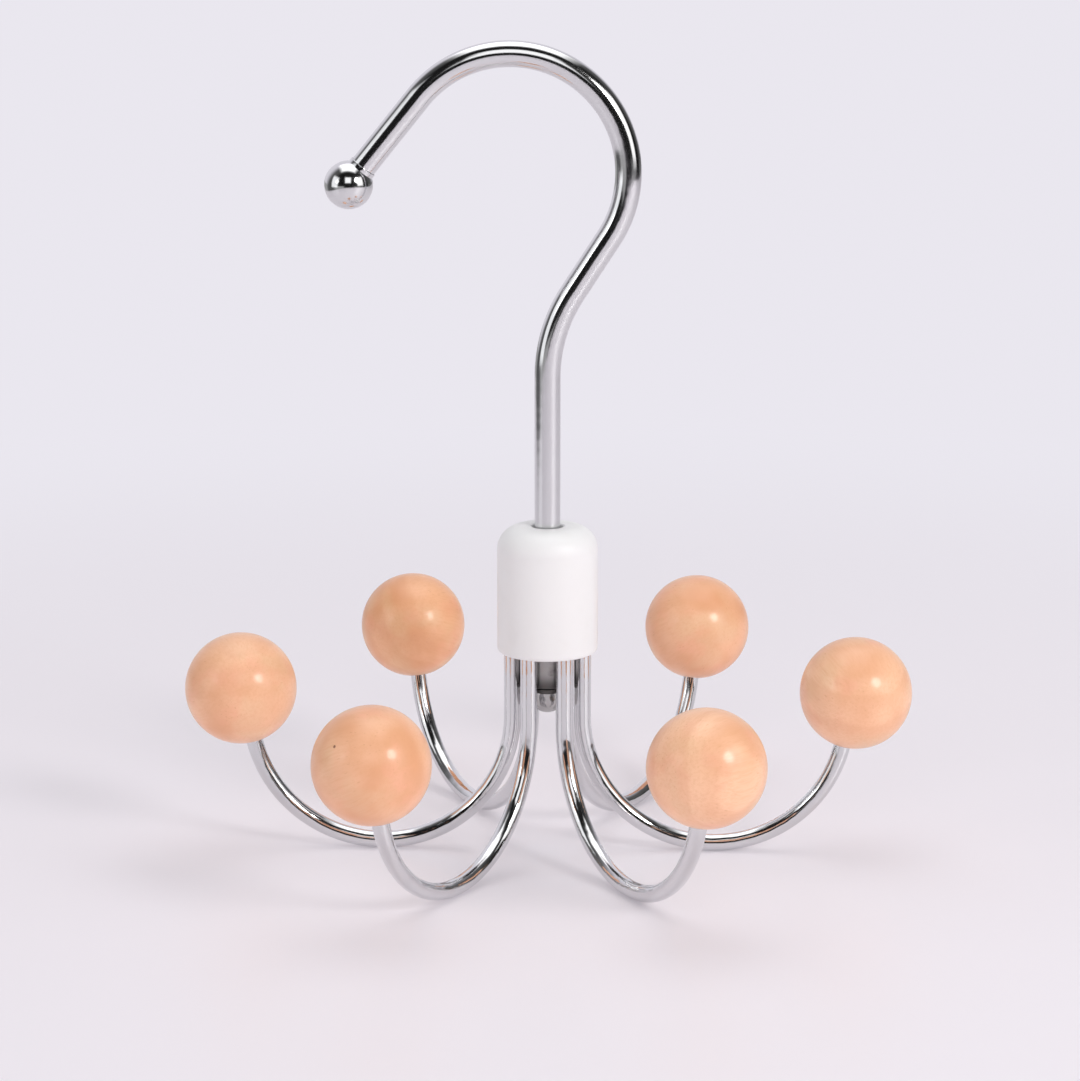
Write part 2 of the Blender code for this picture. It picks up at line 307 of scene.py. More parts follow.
@dataclass(frozen=True)
class HandlingFilmGroup:
    """Uneven film that hands and dust leave, in patches with soft borders."""

    patch_detail: float = 4.0
    bare_start: float = 0.72  # noise value at which the film starts where the cover is 0
    cover_gain: float = 0.4
    border: float = 0.25
    specks_per_mm: float = 6.0
    speck_range: Range = (0.3, 0.7)
    speck_film: Range = (0.6, 1.0)

    def build(self) -> None:
        """Build the group."""
        inputs = {"Patches per mm": 0.2, "Cover": 0.5}
        wiring, source = start_group(ShaderGroup.HANDLING_FILM, inputs, "Film")
        place = wiring.vector_math("MULTIPLY", source["Coordinates"], (PER_MM,) * 3)
        patches = wiring.noise(place, source["Patches per mm"], self.patch_detail)
        gain = wiring.math("MULTIPLY", source["Cover"], self.cover_gain)
        start = wiring.math("SUBTRACT", self.bare_start, gain)
        end = wiring.math("ADD", start, self.border)
        spread = wiring.remap(patches, (start, end), smooth=True)
        specks = wiring.noise(place, self.specks_per_mm)
        broken = wiring.remap(specks, self.speck_range, self.speck_film)
        wiring.add("NodeGroupOutput", {"Film": wiring.math("MULTIPLY", spread, broken)})


@dataclass(frozen=True)
class SoftWavesGroup:
    """Low waves, as a height in millimetres, in a surface that was bent, moulded or sanded."""

    detail: float = 1.0

    def build(self) -> None:
        """Build the group."""
        inputs = {"Waves per mm": 0.2, "Height mm": 0.01}
        wiring, source = start_group(ShaderGroup.SOFT_WAVES, inputs, "Height")
        place = wiring.vector_math("MULTIPLY", source["Coordinates"], (PER_MM,) * 3)
        waves = wiring.noise(place, source["Waves per mm"], self.detail)
        height = wiring.math("MULTIPLY", waves, source["Height mm"])
        wiring.add("NodeGroupOutput", {"Height": height})


@dataclass(frozen=True)
class Lines:
    """Fine lines on one finish: how far they are drawn out each way, and how strong they are."""

    stretch: Triple
    contrast: float


@dataclass(frozen=True)
class Film:
    """Handling film on one finish."""

    per_mm: float
    cover: float


@dataclass(frozen=True)
class Waves:
    """Soft waves in one finish."""

    per_mm: float
    height_mm: float


class Painter:
    """Builds one material: a Principled shader with its nodes around it."""

    def __init__(self, name: str) -> None:
        """Start a material.

        Args:
            name: The material's name.
        """
        self.material = bpy.data.materials.new(name)
        self.material.use_nodes = True
        self.wiring = Wiring(self.material.node_tree)
        self.shader = self.material.node_tree.nodes["Principled BSDF"]

    @cached_property
    def place(self) -> Socket:
        """The pattern coordinates that the piece carries, in metres."""
        return self.wiring.add("ShaderNodeAttribute", attribute_name=PLACE).outputs["Vector"]

    @cached_property
    def in_mm(self) -> Socket:
        """The same coordinates in millimetres."""
        return self.wiring.vector_math("MULTIPLY", self.place, (PER_MM,) * 3)

    def shared(self, group: ShaderGroup, feeds: Mapping[str, Feed]) -> Socket:
        """Place a shared effect.

        Args:
            group: Which effect.
            feeds: Its inputs for this finish, apart from the coordinates.

        Returns:
            The effect's one output.
        """
        tree = bpy.data.node_groups[group.value]
        feeds = {"Coordinates": self.place, **feeds}
        return self.wiring.result("ShaderNodeGroup", feeds, node_tree=tree)

    def lines(self, lines: Lines) -> Socket:
        """Fine lines, with 0.5 between them."""
        feeds = {"Stretch": lines.stretch, "Contrast": lines.contrast}
        return self.shared(ShaderGroup.FINE_LINES, feeds)

    def film(self, film: Film) -> Socket:
        """Handling film, 0 where the surface is clean."""
        feeds = {"Patches per mm": film.per_mm, "Cover": film.cover}
        return self.shared(ShaderGroup.HANDLING_FILM, feeds)

    def waves(self, waves: Waves) -> Socket:
        """Soft waves, as a height in millimetres."""
        feeds = {"Waves per mm": waves.per_mm, "Height mm": waves.height_mm}
        return self.shared(ShaderGroup.SOFT_WAVES, feeds)

    def relief(self, height: Feed) -> None:
        """Raise the surface by a height in millimetres."""
        feeds = {"Strength": 1.0, "Distance": MM, "Height": height}
        self.set(Normal=self.wiring.result("ShaderNodeBump", feeds))

    def set(self, **values: Feed) -> None:
        """Set or link the shader's inputs, named with underscores for spaces."""
        feeds = {name.replace("_", " "): value for name, value in values.items()}
        self.wiring.feed(self.shader, feeds)


class Finish(Protocol):
    """What every finish offers."""

    name: str
    slot: Slot

    def paint(self) -> bpy.types.Material:
        """Build the material."""
        ...


@dataclass(frozen=True)
class ChromePlate:
    """Bright plating over drawn and bent wire: sharp reflections that waver a little."""

    name: str = "bright_chrome_plate"
    slot: Slot = Slot.CHROME
    colour: Colour = (0.735, 0.735, 0.75)
    film_colour: Colour = (0.63, 0.63, 0.645)
    film: Film = Film(per_mm=0.12, cover=0.35)
    film_strength: float = 0.5
    roughness: Range = (0.12, 0.20)  # clean, and under the film
    draw_marks: Lines = Lines(stretch=(3400.0, 3400.0, 60.0), contrast=1.3)
    mark_range: Range = (0.55, 1.0)
    mark_roughness: Range = (0.0, 0.05)
    mark_height_mm: float = 0.0004
    waves: Waves = Waves(per_mm=0.30, height_mm=0.028)

    def paint(self) -> bpy.types.Material:
        """Build the material.

        Returns:
            The finished material.
        """
        painter = Painter(self.name)
        wiring, film = painter.wiring, painter.film(self.film)
        marks = painter.lines(self.draw_marks)
        dulled = wiring.math("MULTIPLY", film, self.film_strength)
        painter.set(
            Base_Color=wiring.blend(dulled, opaque(self.colour), opaque(self.film_colour)),
            Metallic=1.0,
            Roughness=wiring.math(
                "ADD",
                wiring.remap(film, FULL, self.roughness),
                wiring.remap(marks, self.mark_range, self.mark_roughness),
            ),
        )
        waves = painter.waves(self.waves)
        painter.relief(wiring.math("MULTIPLY_ADD", marks, self.mark_height_mm, waves))
        return painter.material


@dataclass(frozen=True)
class TurnedSteel:
    """Dark plain steel with tool rings and handling film; painted shade darkens its lower edge."""

    name: str = "dark_turned_steel"
    slot: Slot = Slot.DARK_STEEL
    colour: Colour = (0.42, 0.410, 0.405)
    # Colour under the handling film, and of the painted shade at the lower edge.
    film_and_shade_colour: Colour = (0.115, 0.110, 0.107)
    shade_heights: Range = (0.4 * MM, 3.6 * MM)  # heights between which the painted shade fades out
    film: Film = Film(per_mm=0.25, cover=0.5)
    rings: Lines = Lines(stretch=(60.0, 60.0, 5200.0), contrast=1.2)
    ring_range: Range = (0.2, 0.8)
    roughness: Range = (0.30, 0.38)
    ring_height_mm: float = 0.0015
    waves: Waves = Waves(per_mm=0.5, height_mm=0.01)

    def paint(self) -> bpy.types.Material:
        """Build the material.

        Returns:
            The finished material.
        """
        painter = Painter(self.name)
        wiring, film, rings = painter.wiring, painter.film(self.film), painter.lines(self.rings)
        height = wiring.split(painter.place)[2]
        # Painted shade: darker towards each piece's lower edge; the darker of it and the handling
        # film is laid.
        painted_shade = wiring.remap(height, self.shade_heights, (1.0, 0.0), smooth=True)
        film_and_shade = wiring.math("MAXIMUM", film, painted_shade)
        painter.set(
            Base_Color=wiring.blend(film_and_shade, opaque(self.colour), opaque(self.film_and_shade_colour)),
            Metallic=1.0,
            Roughness=wiring.remap(rings, self.ring_range, self.roughness),
        )
        waves = painter.waves(self.waves)
        painter.relief(wiring.math("MULTIPLY_ADD", rings, self.ring_height_mm, waves))
        return painter.material


@dataclass(frozen=True)
class MouldedPlastic:
    """White moulding with a soft sheen and a barely uneven skin."""

    name: str = "white_moulded_plastic"
    slot: Slot = Slot.WHITE_PLASTIC
    colour: Colour = (0.856, 0.850, 0.860)
    film_colour: Colour = (0.79, 0.778, 0.775)
    film: Film = Film(per_mm=0.22, cover=0.45)
    film_strength: float = 0.35
    roughness: Range = (0.40, 0.55)  # clean, and under the film
    skin: Waves = Waves(per_mm=3.2, height_mm=0.006)
    sink: Waves = Waves(per_mm=0.12, height_mm=0.12)

    def paint(self) -> bpy.types.Material:
        """Build the material.

        Returns:
            The finished material.
        """
        painter = Painter(self.name)
        wiring, film = painter.wiring, painter.film(self.film)
        dulled = wiring.math("MULTIPLY", film, self.film_strength)
        painter.set(
            Base_Color=wiring.blend(dulled, opaque(self.colour), opaque(self.film_colour)),
            Roughness=wiring.remap(film, FULL, self.roughness),
        )
        painter.relief(wiring.math("ADD", painter.waves(self.skin), painter.waves(self.sink)))
        return painter.material


@dataclass(frozen=True)
class Patches:
    """Patches of another tone in the wood."""

    per_mm: float
    noise_range: Range  # noise values at which a patch starts and is full
    strength: float
    detail: float = 2.0
    soft: bool = True
    shift_mm: Triple = (0.0, 0.0, 0.0)

    def mask(self, painter: Painter) -> Socket:
        """Place the patches in a material.

        Args:
            painter: The material's painter.

        Returns:
            0 outside the patches, up to their strength inside.
        """
        wiring, place = painter.wiring, painter.in_mm
        if any(self.shift_mm):
            place = wiring.vector_math("ADD", place, self.shift_mm)
        noise = wiring.noise(place, self.per_mm, self.detail)
        return wiring.remap(noise, self.noise_range, (0.0, self.strength), smooth=self.soft)


@dataclass(frozen=True)
class LacqueredWood:
    """Pale close-grained wood, sanded round and clear-lacquered."""

    name: str = "lacquered_pale_wood"
    shade: Colour = (1.0, 1.0, 1.0)
    slot: Slot = Slot.WOOD
    light: Colour = (0.965, 0.574, 0.368)
    deep: Colour = (0.78, 0.375, 0.200)
    rosy: Colour = (0.91, 0.445, 0.285)
    sallow: Colour = (0.86, 0.560, 0.345)
    late_ring: Colour = (0.76, 0.345, 0.185)
    pore: Colour = (0.62, 0.265, 0.135)
    pin_knot: Colour = (0.20, 0.075, 0.040)
    own_tone: Patches = Patches(0.0045, (0.35, 0.65), 0.50, detail=0.0, soft=False)
    clouds: Patches = Patches(0.085, (0.40, 0.70), 0.62)
    flush: Patches = Patches(0.14, (0.50, 0.70), 0.58, detail=3.0, shift_mm=(31.0, 17.0, 5.0))
    paling: Patches = Patches(0.10, (0.50, 0.68), 0.50, shift_mm=(-23.0, 41.0, 9.0))
    pore_crowds: Patches = Patches(0.16, (0.40, 0.65), 0.40, detail=1.0, soft=False)
    pore_stretch: Triple = (1.5, 1.5, 0.22)
    pore_edge: Range = (0.08, 0.22)
    fibres: Lines = Lines(stretch=(1900.0, 1900.0, 110.0), contrast=1.4)
    fibre_range: Range = (0.42, 0.85)
    fibre_colouring: Range = (0.0, 0.50)
    fibre_height_mm: float = 0.0015
    film: Film = Film(per_mm=0.18, cover=0.4)
    waves: Waves = Waves(per_mm=0.16, height_mm=0.03)
    roughness: Range = (0.42, 0.55)  # clean, and under the film
    coat: Range = (0.50, 0.40)
    coat_roughness: float = 0.17
    specular: float = 0.25
    pith_distance_mm: float = 46.0
    ring_spacing_mm: float = 5.5
    ring_wander_mm: float = 9.0
    wander_per_mm: float = 0.07
    ring_stretch: Triple = (1.0, 1.0, 0.06)
    ring_rise: Range = (0.15, 0.80)
    ring_fall: Range = (0.84, 1.0)
    ring_strength: float = 0.22
    knot_place: Triple = (0.0, 0.0, 5.0)
    knot_radius_mm: float = 0.36
    knot_core: float = 0.5  # share of the knot's radius that is fully dark
    knot_darkness: float = 0.85
    knot_height_mm: float = -0.12

    def paint(self) -> bpy.types.Material:
        """Build the material.

        Returns:
            The finished material.
        """
        painter = Painter(self.name)
        wiring, film, fibres = painter.wiring, painter.film(self.film), painter.lines(self.fibres)
        knots = self.knots(painter)
        painter.set(
            Base_Color=self.colouring(painter, fibres, knots),
            Roughness=wiring.remap(film, FULL, self.roughness),
            Coat_Weight=wiring.remap(film, FULL, self.coat),
            Coat_Roughness=self.coat_roughness,
            Specular_IOR_Level=self.specular,
        )
        waves = painter.waves(self.waves)
        lined = wiring.math("MULTIPLY_ADD", fibres, self.fibre_height_mm, waves)
        sunk = wiring.math("MULTIPLY", knots, self.knot_height_mm)
        painter.relief(wiring.math("ADD", lined, sunk))
        return painter.material

    def tinted(self, colour: Colour) -> tuple[float, ...]:
        """One of the timber's colours in this ball's shade, with its alpha."""
        return (*(part * share for part, share in zip(colour, self.shade)), 1.0)

    def colouring(self, painter: Painter, fibres: Socket, knots: Socket) -> Socket:
        """Lay each tone over the last: clouds, pale and rosy patches, rings, fibres and marks.

        Args:
            painter: The material's painter.
            fibres: Fine lines along the grain.
            knots: How dark the pin knot is.

        Returns:
            The colour.
        """
        wiring = painter.wiring
        tone = wiring.math("ADD", self.own_tone.mask(painter), self.clouds.mask(painter))
        tone = wiring.math("MINIMUM", tone, 1.0)
        colour = wiring.blend(tone, self.tinted(self.light), self.tinted(self.deep))
        ringed = wiring.math("MULTIPLY", self.rings(painter), self.ring_strength)
        lined = wiring.remap(fibres, self.fibre_range, self.fibre_colouring)
        for share, laid in (
            (self.paling.mask(painter), self.tinted(self.sallow)),
            (self.flush.mask(painter), self.tinted(self.rosy)),
            (ringed, self.tinted(self.late_ring)),
            (lined, self.tinted(self.deep)),
            (self.pores(painter), opaque(self.pore)),
            (knots, opaque(self.pin_knot)),
        ):
            colour = wiring.blend(share, colour, laid)
        return colour

    def pores(self, painter: Painter) -> Socket:
        """Short dark pores along the grain, in crowds.

        Args:
            painter: The material's painter.

        Returns:
            How dark the pores are.
        """
        wiring = painter.wiring
        drawn = wiring.vector_math("MULTIPLY", painter.in_mm, self.pore_stretch)
        cells = wiring.add("ShaderNodeTexVoronoi", {"Vector": drawn, "Scale": 1.0})
        pore = wiring.remap(cells.outputs["Distance"], self.pore_edge, (1.0, 0.0), smooth=True)
        return wiring.math("MULTIPLY", pore, self.pore_crowds.mask(painter))

    def knots(self, painter: Painter) -> Socket:
        """The one dark pin knot, at its place in the timber.

        Args:
            painter: The material's painter.

        Returns:
            How dark the knot is.
        """
        wiring = painter.wiring
        spot = [share * PER_MM for share in self.knot_place]
        distance = wiring.measure("DISTANCE", painter.in_mm, spot)
        reach = (self.knot_radius_mm * self.knot_core, self.knot_radius_mm)
        return wiring.remap(distance, reach, (self.knot_darkness, 0.0), smooth=True)

    def rings(self, painter: Painter) -> Socket:
        """Growth rings round a pith that lies well outside the ball.

        Args:
            painter: The material's painter.

        Returns:
            0 in early wood, rising to 1 at the end of each ring.
        """
        wiring, in_mm = painter.wiring, painter.in_mm
        noise = wiring.noise(in_mm, self.wander_per_mm, detail=1.0)
        wander = wiring.math("MULTIPLY", noise, self.ring_wander_mm)
        across = wiring.vector_math("MULTIPLY", in_mm, self.ring_stretch)
        from_pith = wiring.vector_math("ADD", across, (self.pith_distance_mm, 0.0, 0.0))
        reach = wiring.math("ADD", wiring.measure("LENGTH", from_pith), wander)
        share = wiring.math("FRACT", wiring.math("DIVIDE", reach, self.ring_spacing_mm))
        rise = wiring.remap(share, self.ring_rise, smooth=True)
        fall = wiring.remap(share, self.ring_fall, (1.0, 0.0), smooth=True)
        return wiring.math("MULTIPLY", rise, fall)


@dataclass(frozen=True)
class Finishes:
    """Every finish of the hanger, with the materials once they are built."""

    chrome: ChromePlate = ChromePlate()
    arm_chrome: ChromePlate = ChromePlate("rippled_chrome_plate", waves=Waves(0.26, 0.16))
    # Domed end: painted shade, a darker plate colour standing for the shadowed surroundings it
    # reflects; its stronger ripples are real relief.
    shade_dimmed_chrome: ChromePlate = ChromePlate(
        "shade_dimmed_chrome_plate",
        colour=(0.48, 0.472, 0.467),
        film_colour=(0.35, 0.342, 0.338),
        waves=Waves(0.42, 0.55),
    )
    steel: TurnedSteel = TurnedSteel()
    plastic: MouldedPlastic = MouldedPlastic()
    wood: LacqueredWood = LacqueredWood()
    browner_wood: LacqueredWood = LacqueredWood("lacquered_browner_wood", (0.955, 0.90, 0.83))
    materials: dict[Finish, bpy.types.Material] = field(default_factory=dict)

    def build(self) -> None:
        """Build the shared groups and each finish's material."""
        for group in (FineLinesGroup(), HandlingFilmGroup(), SoftWavesGroup()):
            group.build()
        chromes = (self.chrome, self.arm_chrome, self.shade_dimmed_chrome)
        for finish in (*chromes, self.steel, self.plastic, self.wood, self.browner_wood):
            self.materials[finish] = finish.paint()


# Meshes


def finish_mesh(mesh: bpy.types.Mesh, material: bpy.types.Material) -> bpy.types.Mesh:
    """Shade a mesh smooth between its sharp edges and give it its material.

    Args:
        mesh: The mesh to finish.
        material: What it wears.

    Returns:
        The same mesh.
    """
    mesh.shade_smooth()
    mesh.set_sharp_from_angle(angle=SHARP_EDGE)
    mesh.materials.clear()
    mesh.materials.append(material)
    return mesh


def arc(centre: Point, radii: Point, start: float, end: float, steps: int) -> list[Point]:
    """Points of an ellipse's arc.

    Args:
        centre: Its centre, as radius and height.
        radii: Its half axes across and up.
        start: Angle of the first point, in degrees.
        end: Angle of the last point.
        steps: Number of steps between them.

    Returns:
        The points, both ends included.
    """
    angles = [math.radians(start + (end - start) * step / steps) for step in range(steps + 1)]
    return [
        (centre[0] + radii[0] * math.cos(angle), centre[1] + radii[1] * math.sin(angle))
        for angle in angles
    ]


def ring_outline(bore: float, radius: float, height: float, edge: float) -> list[Point]:
    """Outline of a turned ring with its outer edges rounded.

    Args:
        bore: Radius of its hole.
        radius: Its outer radius.
        height: Its height, standing on 0.
        edge: Radius of its outer edges.

    Returns:
        The closed outline.
    """
    return [
        (bore, 0.0),
        *arc((radius - edge, edge), (edge, edge), -90, 0, EDGE_STEPS),
        *arc((radius - edge, height - edge), (edge, edge), 0, 90, EDGE_STEPS),
        (bore, height),
    ]


@dataclass(frozen=True)
class SocketedBall:
    """A ball round the origin with a blind socket from below."""

    radius: float
    socket_radius: float
    socket_depth: float  # from the ball's lowest point
    lip: float  # radius of the eased edge at the socket's mouth
    steps: int  # over the ball's skin
    neck: float = 0.0  # length of the thin neck round the mouth, if it has one
    lip_steps: int = 8
    plain_lip_end: float = 260.0  # degrees at which a lip without a neck meets the skin

    def outline(self) -> list[Point]:
        """Outline from the axis in the socket to the axis at the ball's top.

        Returns:
            The outline's points.
        """
        mouth_radius = self.socket_radius + self.lip * (2.0 if self.neck else 1.0)
        mouth_angle = -90.0 + math.degrees(math.asin(mouth_radius / self.radius))
        skin = arc((0.0, 0.0), (self.radius, self.radius), mouth_angle, 90.0, self.steps)
        skin[-1] = (0.0, self.radius)
        lip_centre = (self.socket_radius + self.lip, skin[0][1] + self.lip - self.neck)
        lip_end = 360.0 if self.neck else self.plain_lip_end
        lip_arc = arc(lip_centre, (self.lip, self.lip), 180.0, lip_end, self.lip_steps)
        socket_end = -(self.radius - self.socket_depth)
        return [(0.0, socket_end), (self.socket_radius, socket_end), *lip_arc, *skin]


def turned_mesh(
    name: str, outline: Sequence[Point], segments: int, placed: Matrix, pattern: Matrix
) -> bpy.types.Mesh:
    """Turn an outline round +Z, then put it in its place.

    Args:
        name: The mesh's name.
        outline: Points of radius and height; closed, or ending on the axis at both ends.
        segments: Number of segments round the axis.
        placed: From the turning frame to the hanger's.
        pattern: From the turning frame to the pattern's own coordinates.

    Returns:
        The mesh, with its pattern coordinates as an attribute.
    """
    working = bmesh.new()
    verts = [working.verts.new((radius, 0.0, height)) for radius, height in outline]
    pairs = list(zip(verts, verts[1:]))
    if outline[0][0] > 0.0:
        pairs.append((verts[-1], verts[0]))
    edges = [working.edges.new(pair) for pair in pairs]
    bmesh.ops.spin(
        working,
        geom=verts + edges,
        cent=(0.0, 0.0, 0.0),
        axis=(0.0, 0.0, 1.0),
        angle=math.tau,
        steps=segments,
        use_merge=True,
    )
    bmesh.ops.remove_doubles(working, verts=working.verts, dist=WELD_DISTANCE)
    bmesh.ops.recalc_face_normals(working, faces=working.faces)
    layer = working.verts.layers.float_vector.new(PLACE)
    for vert in working.verts:
        vert[layer] = pattern @ vert.co
    working.transform(placed)
    mesh = bpy.data.meshes.new(name)
    working.to_mesh(mesh)
    working.free()
    return mesh


def add_piece(
    name: str, mesh: bpy.types.Mesh, body: Body, nodes: Sequence[str]
) -> bpy.types.Object:
    """Hand a finished piece to the frame.

    Args:
        name: The piece's name.
        mesh: Its mesh, already in place.
        body: The body that it rides on.
        nodes: The solids that it stands for.

    Returns:
        The piece's object.
    """
    piece = bpy.data.objects.new(name, mesh)
    bpy.context.scene.collection.objects.link(piece)
    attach(piece, body.value)
    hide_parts(*nodes)
    LOG.info("%s: %d faces, rides on %s", name, len(mesh.polygons), body.value)
    return piece


@dataclass(frozen=True)
class Run:
    """One run of a bent wire: fed straight, or bent round a former."""

    length: float = 0.0
    radius: float = 0.0
    turn: float = 0.0

    @property
    def along(self) -> float:
        """Length of wire that the run takes."""
        return self.length if self.turn == 0.0 else self.radius * abs(math.radians(self.turn))


@dataclass(frozen=True)
class Wire:
    """Sizes of one bent wire, from where it starts."""

    radius: float
    sides: int
    start: Triple
    heading: float
    runs: Sequence[Run]
    station: float = 0.0  # turn round +Z, in radians
    thin_end_radius: float = 0.0
    thin_end_length: float = 0.0  # 0 where the wire has no thin end
    ring_spacing: float = 0.4 * MM

    def sizes(self) -> dict[str, Any]:
        """The sizes as values for the wire tree's inputs.

        Returns:
            The values by the inputs' names.
        """
        sizes: dict[str, Any] = {
            "Wire Radius": self.radius,
            "Thin End Radius": self.thin_end_radius,
            "Thin End Length": self.thin_end_length,
            "Start": self.start,
            "Start Heading": self.heading,
            "Station": self.station,
            "Ring Spacing": self.ring_spacing,
            "Sides": self.sides,
        }
        for index, run in enumerate(self.runs, start=1):
            sizes[f"Run {index} Length"] = run.along
            sizes[f"Run {index} Turn"] = math.radians(run.turn)
        return sizes


@dataclass
class WireTree:
    """Geometry Nodes tree that lays a round wire along straight runs and bends.

    The wire starts in the XZ plane, and a turn is positive from +Z towards +X. Each run adds the
    chord from its own start to the point reached on it, so the same steps serve both kinds of run.
    """

    runs: int = 5
    straight_turn: float = 1e-5  # a smaller half turn, in radians, counts as straight
    station_shift: float = 0.05  # along the pattern, in metres for each radian of station
    usual_spacing: float = 0.4 * MM
    usual_sides: int = 48

    def __post_init__(self) -> None:
        """Build the tree once, for every wire."""
        self.run_group = self.build_run()
        self.wiring = Wiring(bpy.data.node_groups.new("bent_wire", "GeometryNodeTree"))
        self.source = self.open_inputs()
        self.build()

    def build_run(self) -> bpy.types.NodeTree:
        """Build the group that carries a point along one run.

        Returns:
            The node group.
        """
        wiring = Wiring(bpy.data.node_groups.new("wire_run", "GeometryNodeTree"))
        for name in ("Along", "Begin", "Length", "Heading", "Turn"):
            wiring.opening(name, SocketKind.FLOAT)
        wiring.outlet("Offset", SocketKind.VECTOR)
        wiring.outlet("End", SocketKind.FLOAT)
        wiring.outlet("Heading", SocketKind.FLOAT)
        source = wiring.add("NodeGroupInput").outputs
        reached = wiring.math("SUBTRACT", source["Along"], source["Begin"])
        reached = wiring.math("MAXIMUM", wiring.math("MINIMUM", reached, source["Length"]), 0.0)
        share = wiring.math("DIVIDE", reached, source["Length"])
        half_turn = wiring.math("MULTIPLY", wiring.math("MULTIPLY", source["Turn"], share), 0.5)
        size = wiring.math("ABSOLUTE", half_turn)
        is_bent = wiring.math("GREATER_THAN", size, self.straight_turn)
        bent = wiring.math("DIVIDE", wiring.math("SINE", half_turn), half_turn)
        chord = wiring.math("MULTIPLY", reached, wiring.switch(is_bent, 1.0, bent))
        middle = wiring.math("ADD", source["Heading"], half_turn)
        across = wiring.math("MULTIPLY", chord, wiring.math("SINE", middle))
        up = wiring.math("MULTIPLY", chord, wiring.math("COSINE", middle))
        results = {
            "Offset": wiring.combine(across, 0.0, up),
            "End": wiring.math("ADD", source["Begin"], source["Length"]),
            "Heading": wiring.math("ADD", source["Heading"], source["Turn"]),
        }
        wiring.add("NodeGroupOutput", results)
        return wiring.tree

    def open_inputs(self) -> bpy.types.NodeOutputs:
        """Give the wire's own tree its inputs and its output.

        Returns:
            The inputs as sockets by name.
        """
        wiring = self.wiring
        numbers = "Wire Radius", "Thin End Radius", "Thin End Length", "Start Heading", "Station"
        for name in numbers:
            wiring.opening(name, SocketKind.FLOAT)
        wiring.opening("Start", SocketKind.VECTOR)
        wiring.opening("Ring Spacing", SocketKind.FLOAT, self.usual_spacing)
        wiring.opening("Sides", SocketKind.INT, self.usual_sides)
        for number in range(1, self.runs + 1):
            wiring.opening(f"Run {number} Length", SocketKind.FLOAT)
            wiring.opening(f"Run {number} Turn", SocketKind.FLOAT)
        wiring.opening("Material", SocketKind.MATERIAL)
        wiring.outlet("Geometry", SocketKind.GEOMETRY)
        return wiring.add("NodeGroupInput").outputs

    def build(self) -> None:
        """Join up the wire's own tree."""
        wiring, source = self.wiring, self.source
        line, along = self.measured_line()
        place = self.place(along)
        laid = wiring.result("GeometryNodeSetPosition", {"Geometry": line, "Position": place})
        swept, girth = self.sweep(laid, along)
        shift = wiring.math("MULTIPLY", source["Station"], self.station_shift)
        pattern = wiring.combine(girth[0], girth[1], wiring.math("ADD", along, shift))
        marked = wiring.result(
            "GeometryNodeStoreNamedAttribute",
            {"Geometry": swept, "Name": PLACE, "Value": pattern},
            data_type="FLOAT_VECTOR",
            domain="POINT",
        )
        rotation = wiring.combine(0.0, 0.0, source["Station"])
        turned = wiring.result("GeometryNodeTransform", {"Geometry": marked, "Rotation": rotation})
        real = wiring.result("GeometryNodeRealizeInstances", {0: turned})
        worn = {"Geometry": real, "Material": source["Material"]}
        dressed = wiring.result("GeometryNodeSetMaterial", worn)
        wiring.add("NodeGroupOutput", {"Geometry": dressed})

    def measured_line(self) -> tuple[Socket, Socket]:
        """Cut a line into evenly spaced points, and measure how far along the wire each lies.

        Returns:
            The line, and the distance along the wire at each of its points.
        """
        wiring, source = self.wiring, self.source
        total = source["Run 1 Length"]
        for number in range(2, self.runs + 1):
            total = wiring.math("ADD", total, source[f"Run {number} Length"])
        steps = wiring.math("CEIL", wiring.math("DIVIDE", total, source["Ring Spacing"]))
        line = wiring.result("GeometryNodeCurvePrimitiveLine")
        cuts = {"Curve": line, "Count": wiring.math("ADD", steps, 1.0)}
        points = wiring.result("GeometryNodeResampleCurve", cuts)
        factor = wiring.add("GeometryNodeSplineParameter").outputs["Factor"]
        return wiring.capture(points, "FLOAT", "Along", wiring.math("MULTIPLY", factor, total))

    def place(self, along: Socket) -> Socket:
        """Chain the runs.

        Args:
            along: Each point's distance along the wire.

        Returns:
            Each point's place.
        """
        wiring, source = self.wiring, self.source
        place, begin, heading = source["Start"], 0.0, source["Start Heading"]
        for number in range(1, self.runs + 1):
            feeds = {
                "Along": along,
                "Begin": begin,
                "Length": source[f"Run {number} Length"],
                "Heading": heading,
                "Turn": source[f"Run {number} Turn"],
            }
            run = wiring.add("GeometryNodeGroup", feeds, node_tree=self.run_group).outputs
            place = wiring.vector_math("ADD", place, run["Offset"])
            begin, heading = run["End"], run["Heading"]
        return place

    def sweep(self, laid: Socket, along: Socket) -> tuple[Socket, Sequence[Socket]]:
        """Draw the wire's round section along the laid line, thinner over its thin end.

        Args:
            laid: The line in its place.
            along: Each point's distance along the wire.

        Returns:
            The swept mesh, and each point's place in the section as three numbers.
        """
        wiring, source = self.wiring, self.source
        is_thin = wiring.math("LESS_THAN", along, source["Thin End Length"])
        thinness = wiring.math("DIVIDE", source["Thin End Radius"], source["Wire Radius"])
        gauge = {"Curve": laid, "Radius": wiring.switch(is_thin, 1.0, thinness)}
        gauged = wiring.result("GeometryNodeSetCurveRadius", gauge)
        section = {"Resolution": source["Sides"], "Radius": source["Wire Radius"]}
        circle = wiring.result("GeometryNodeCurvePrimitiveCircle", section)
        position = wiring.result("GeometryNodeInputPosition")
        profile, around = wiring.capture(circle, "VECTOR", "Around", position)
        parts = {"Curve": gauged, "Profile Curve": profile, "Fill Caps": True}
        return wiring.result("GeometryNodeCurveToMesh", parts), wiring.split(around)

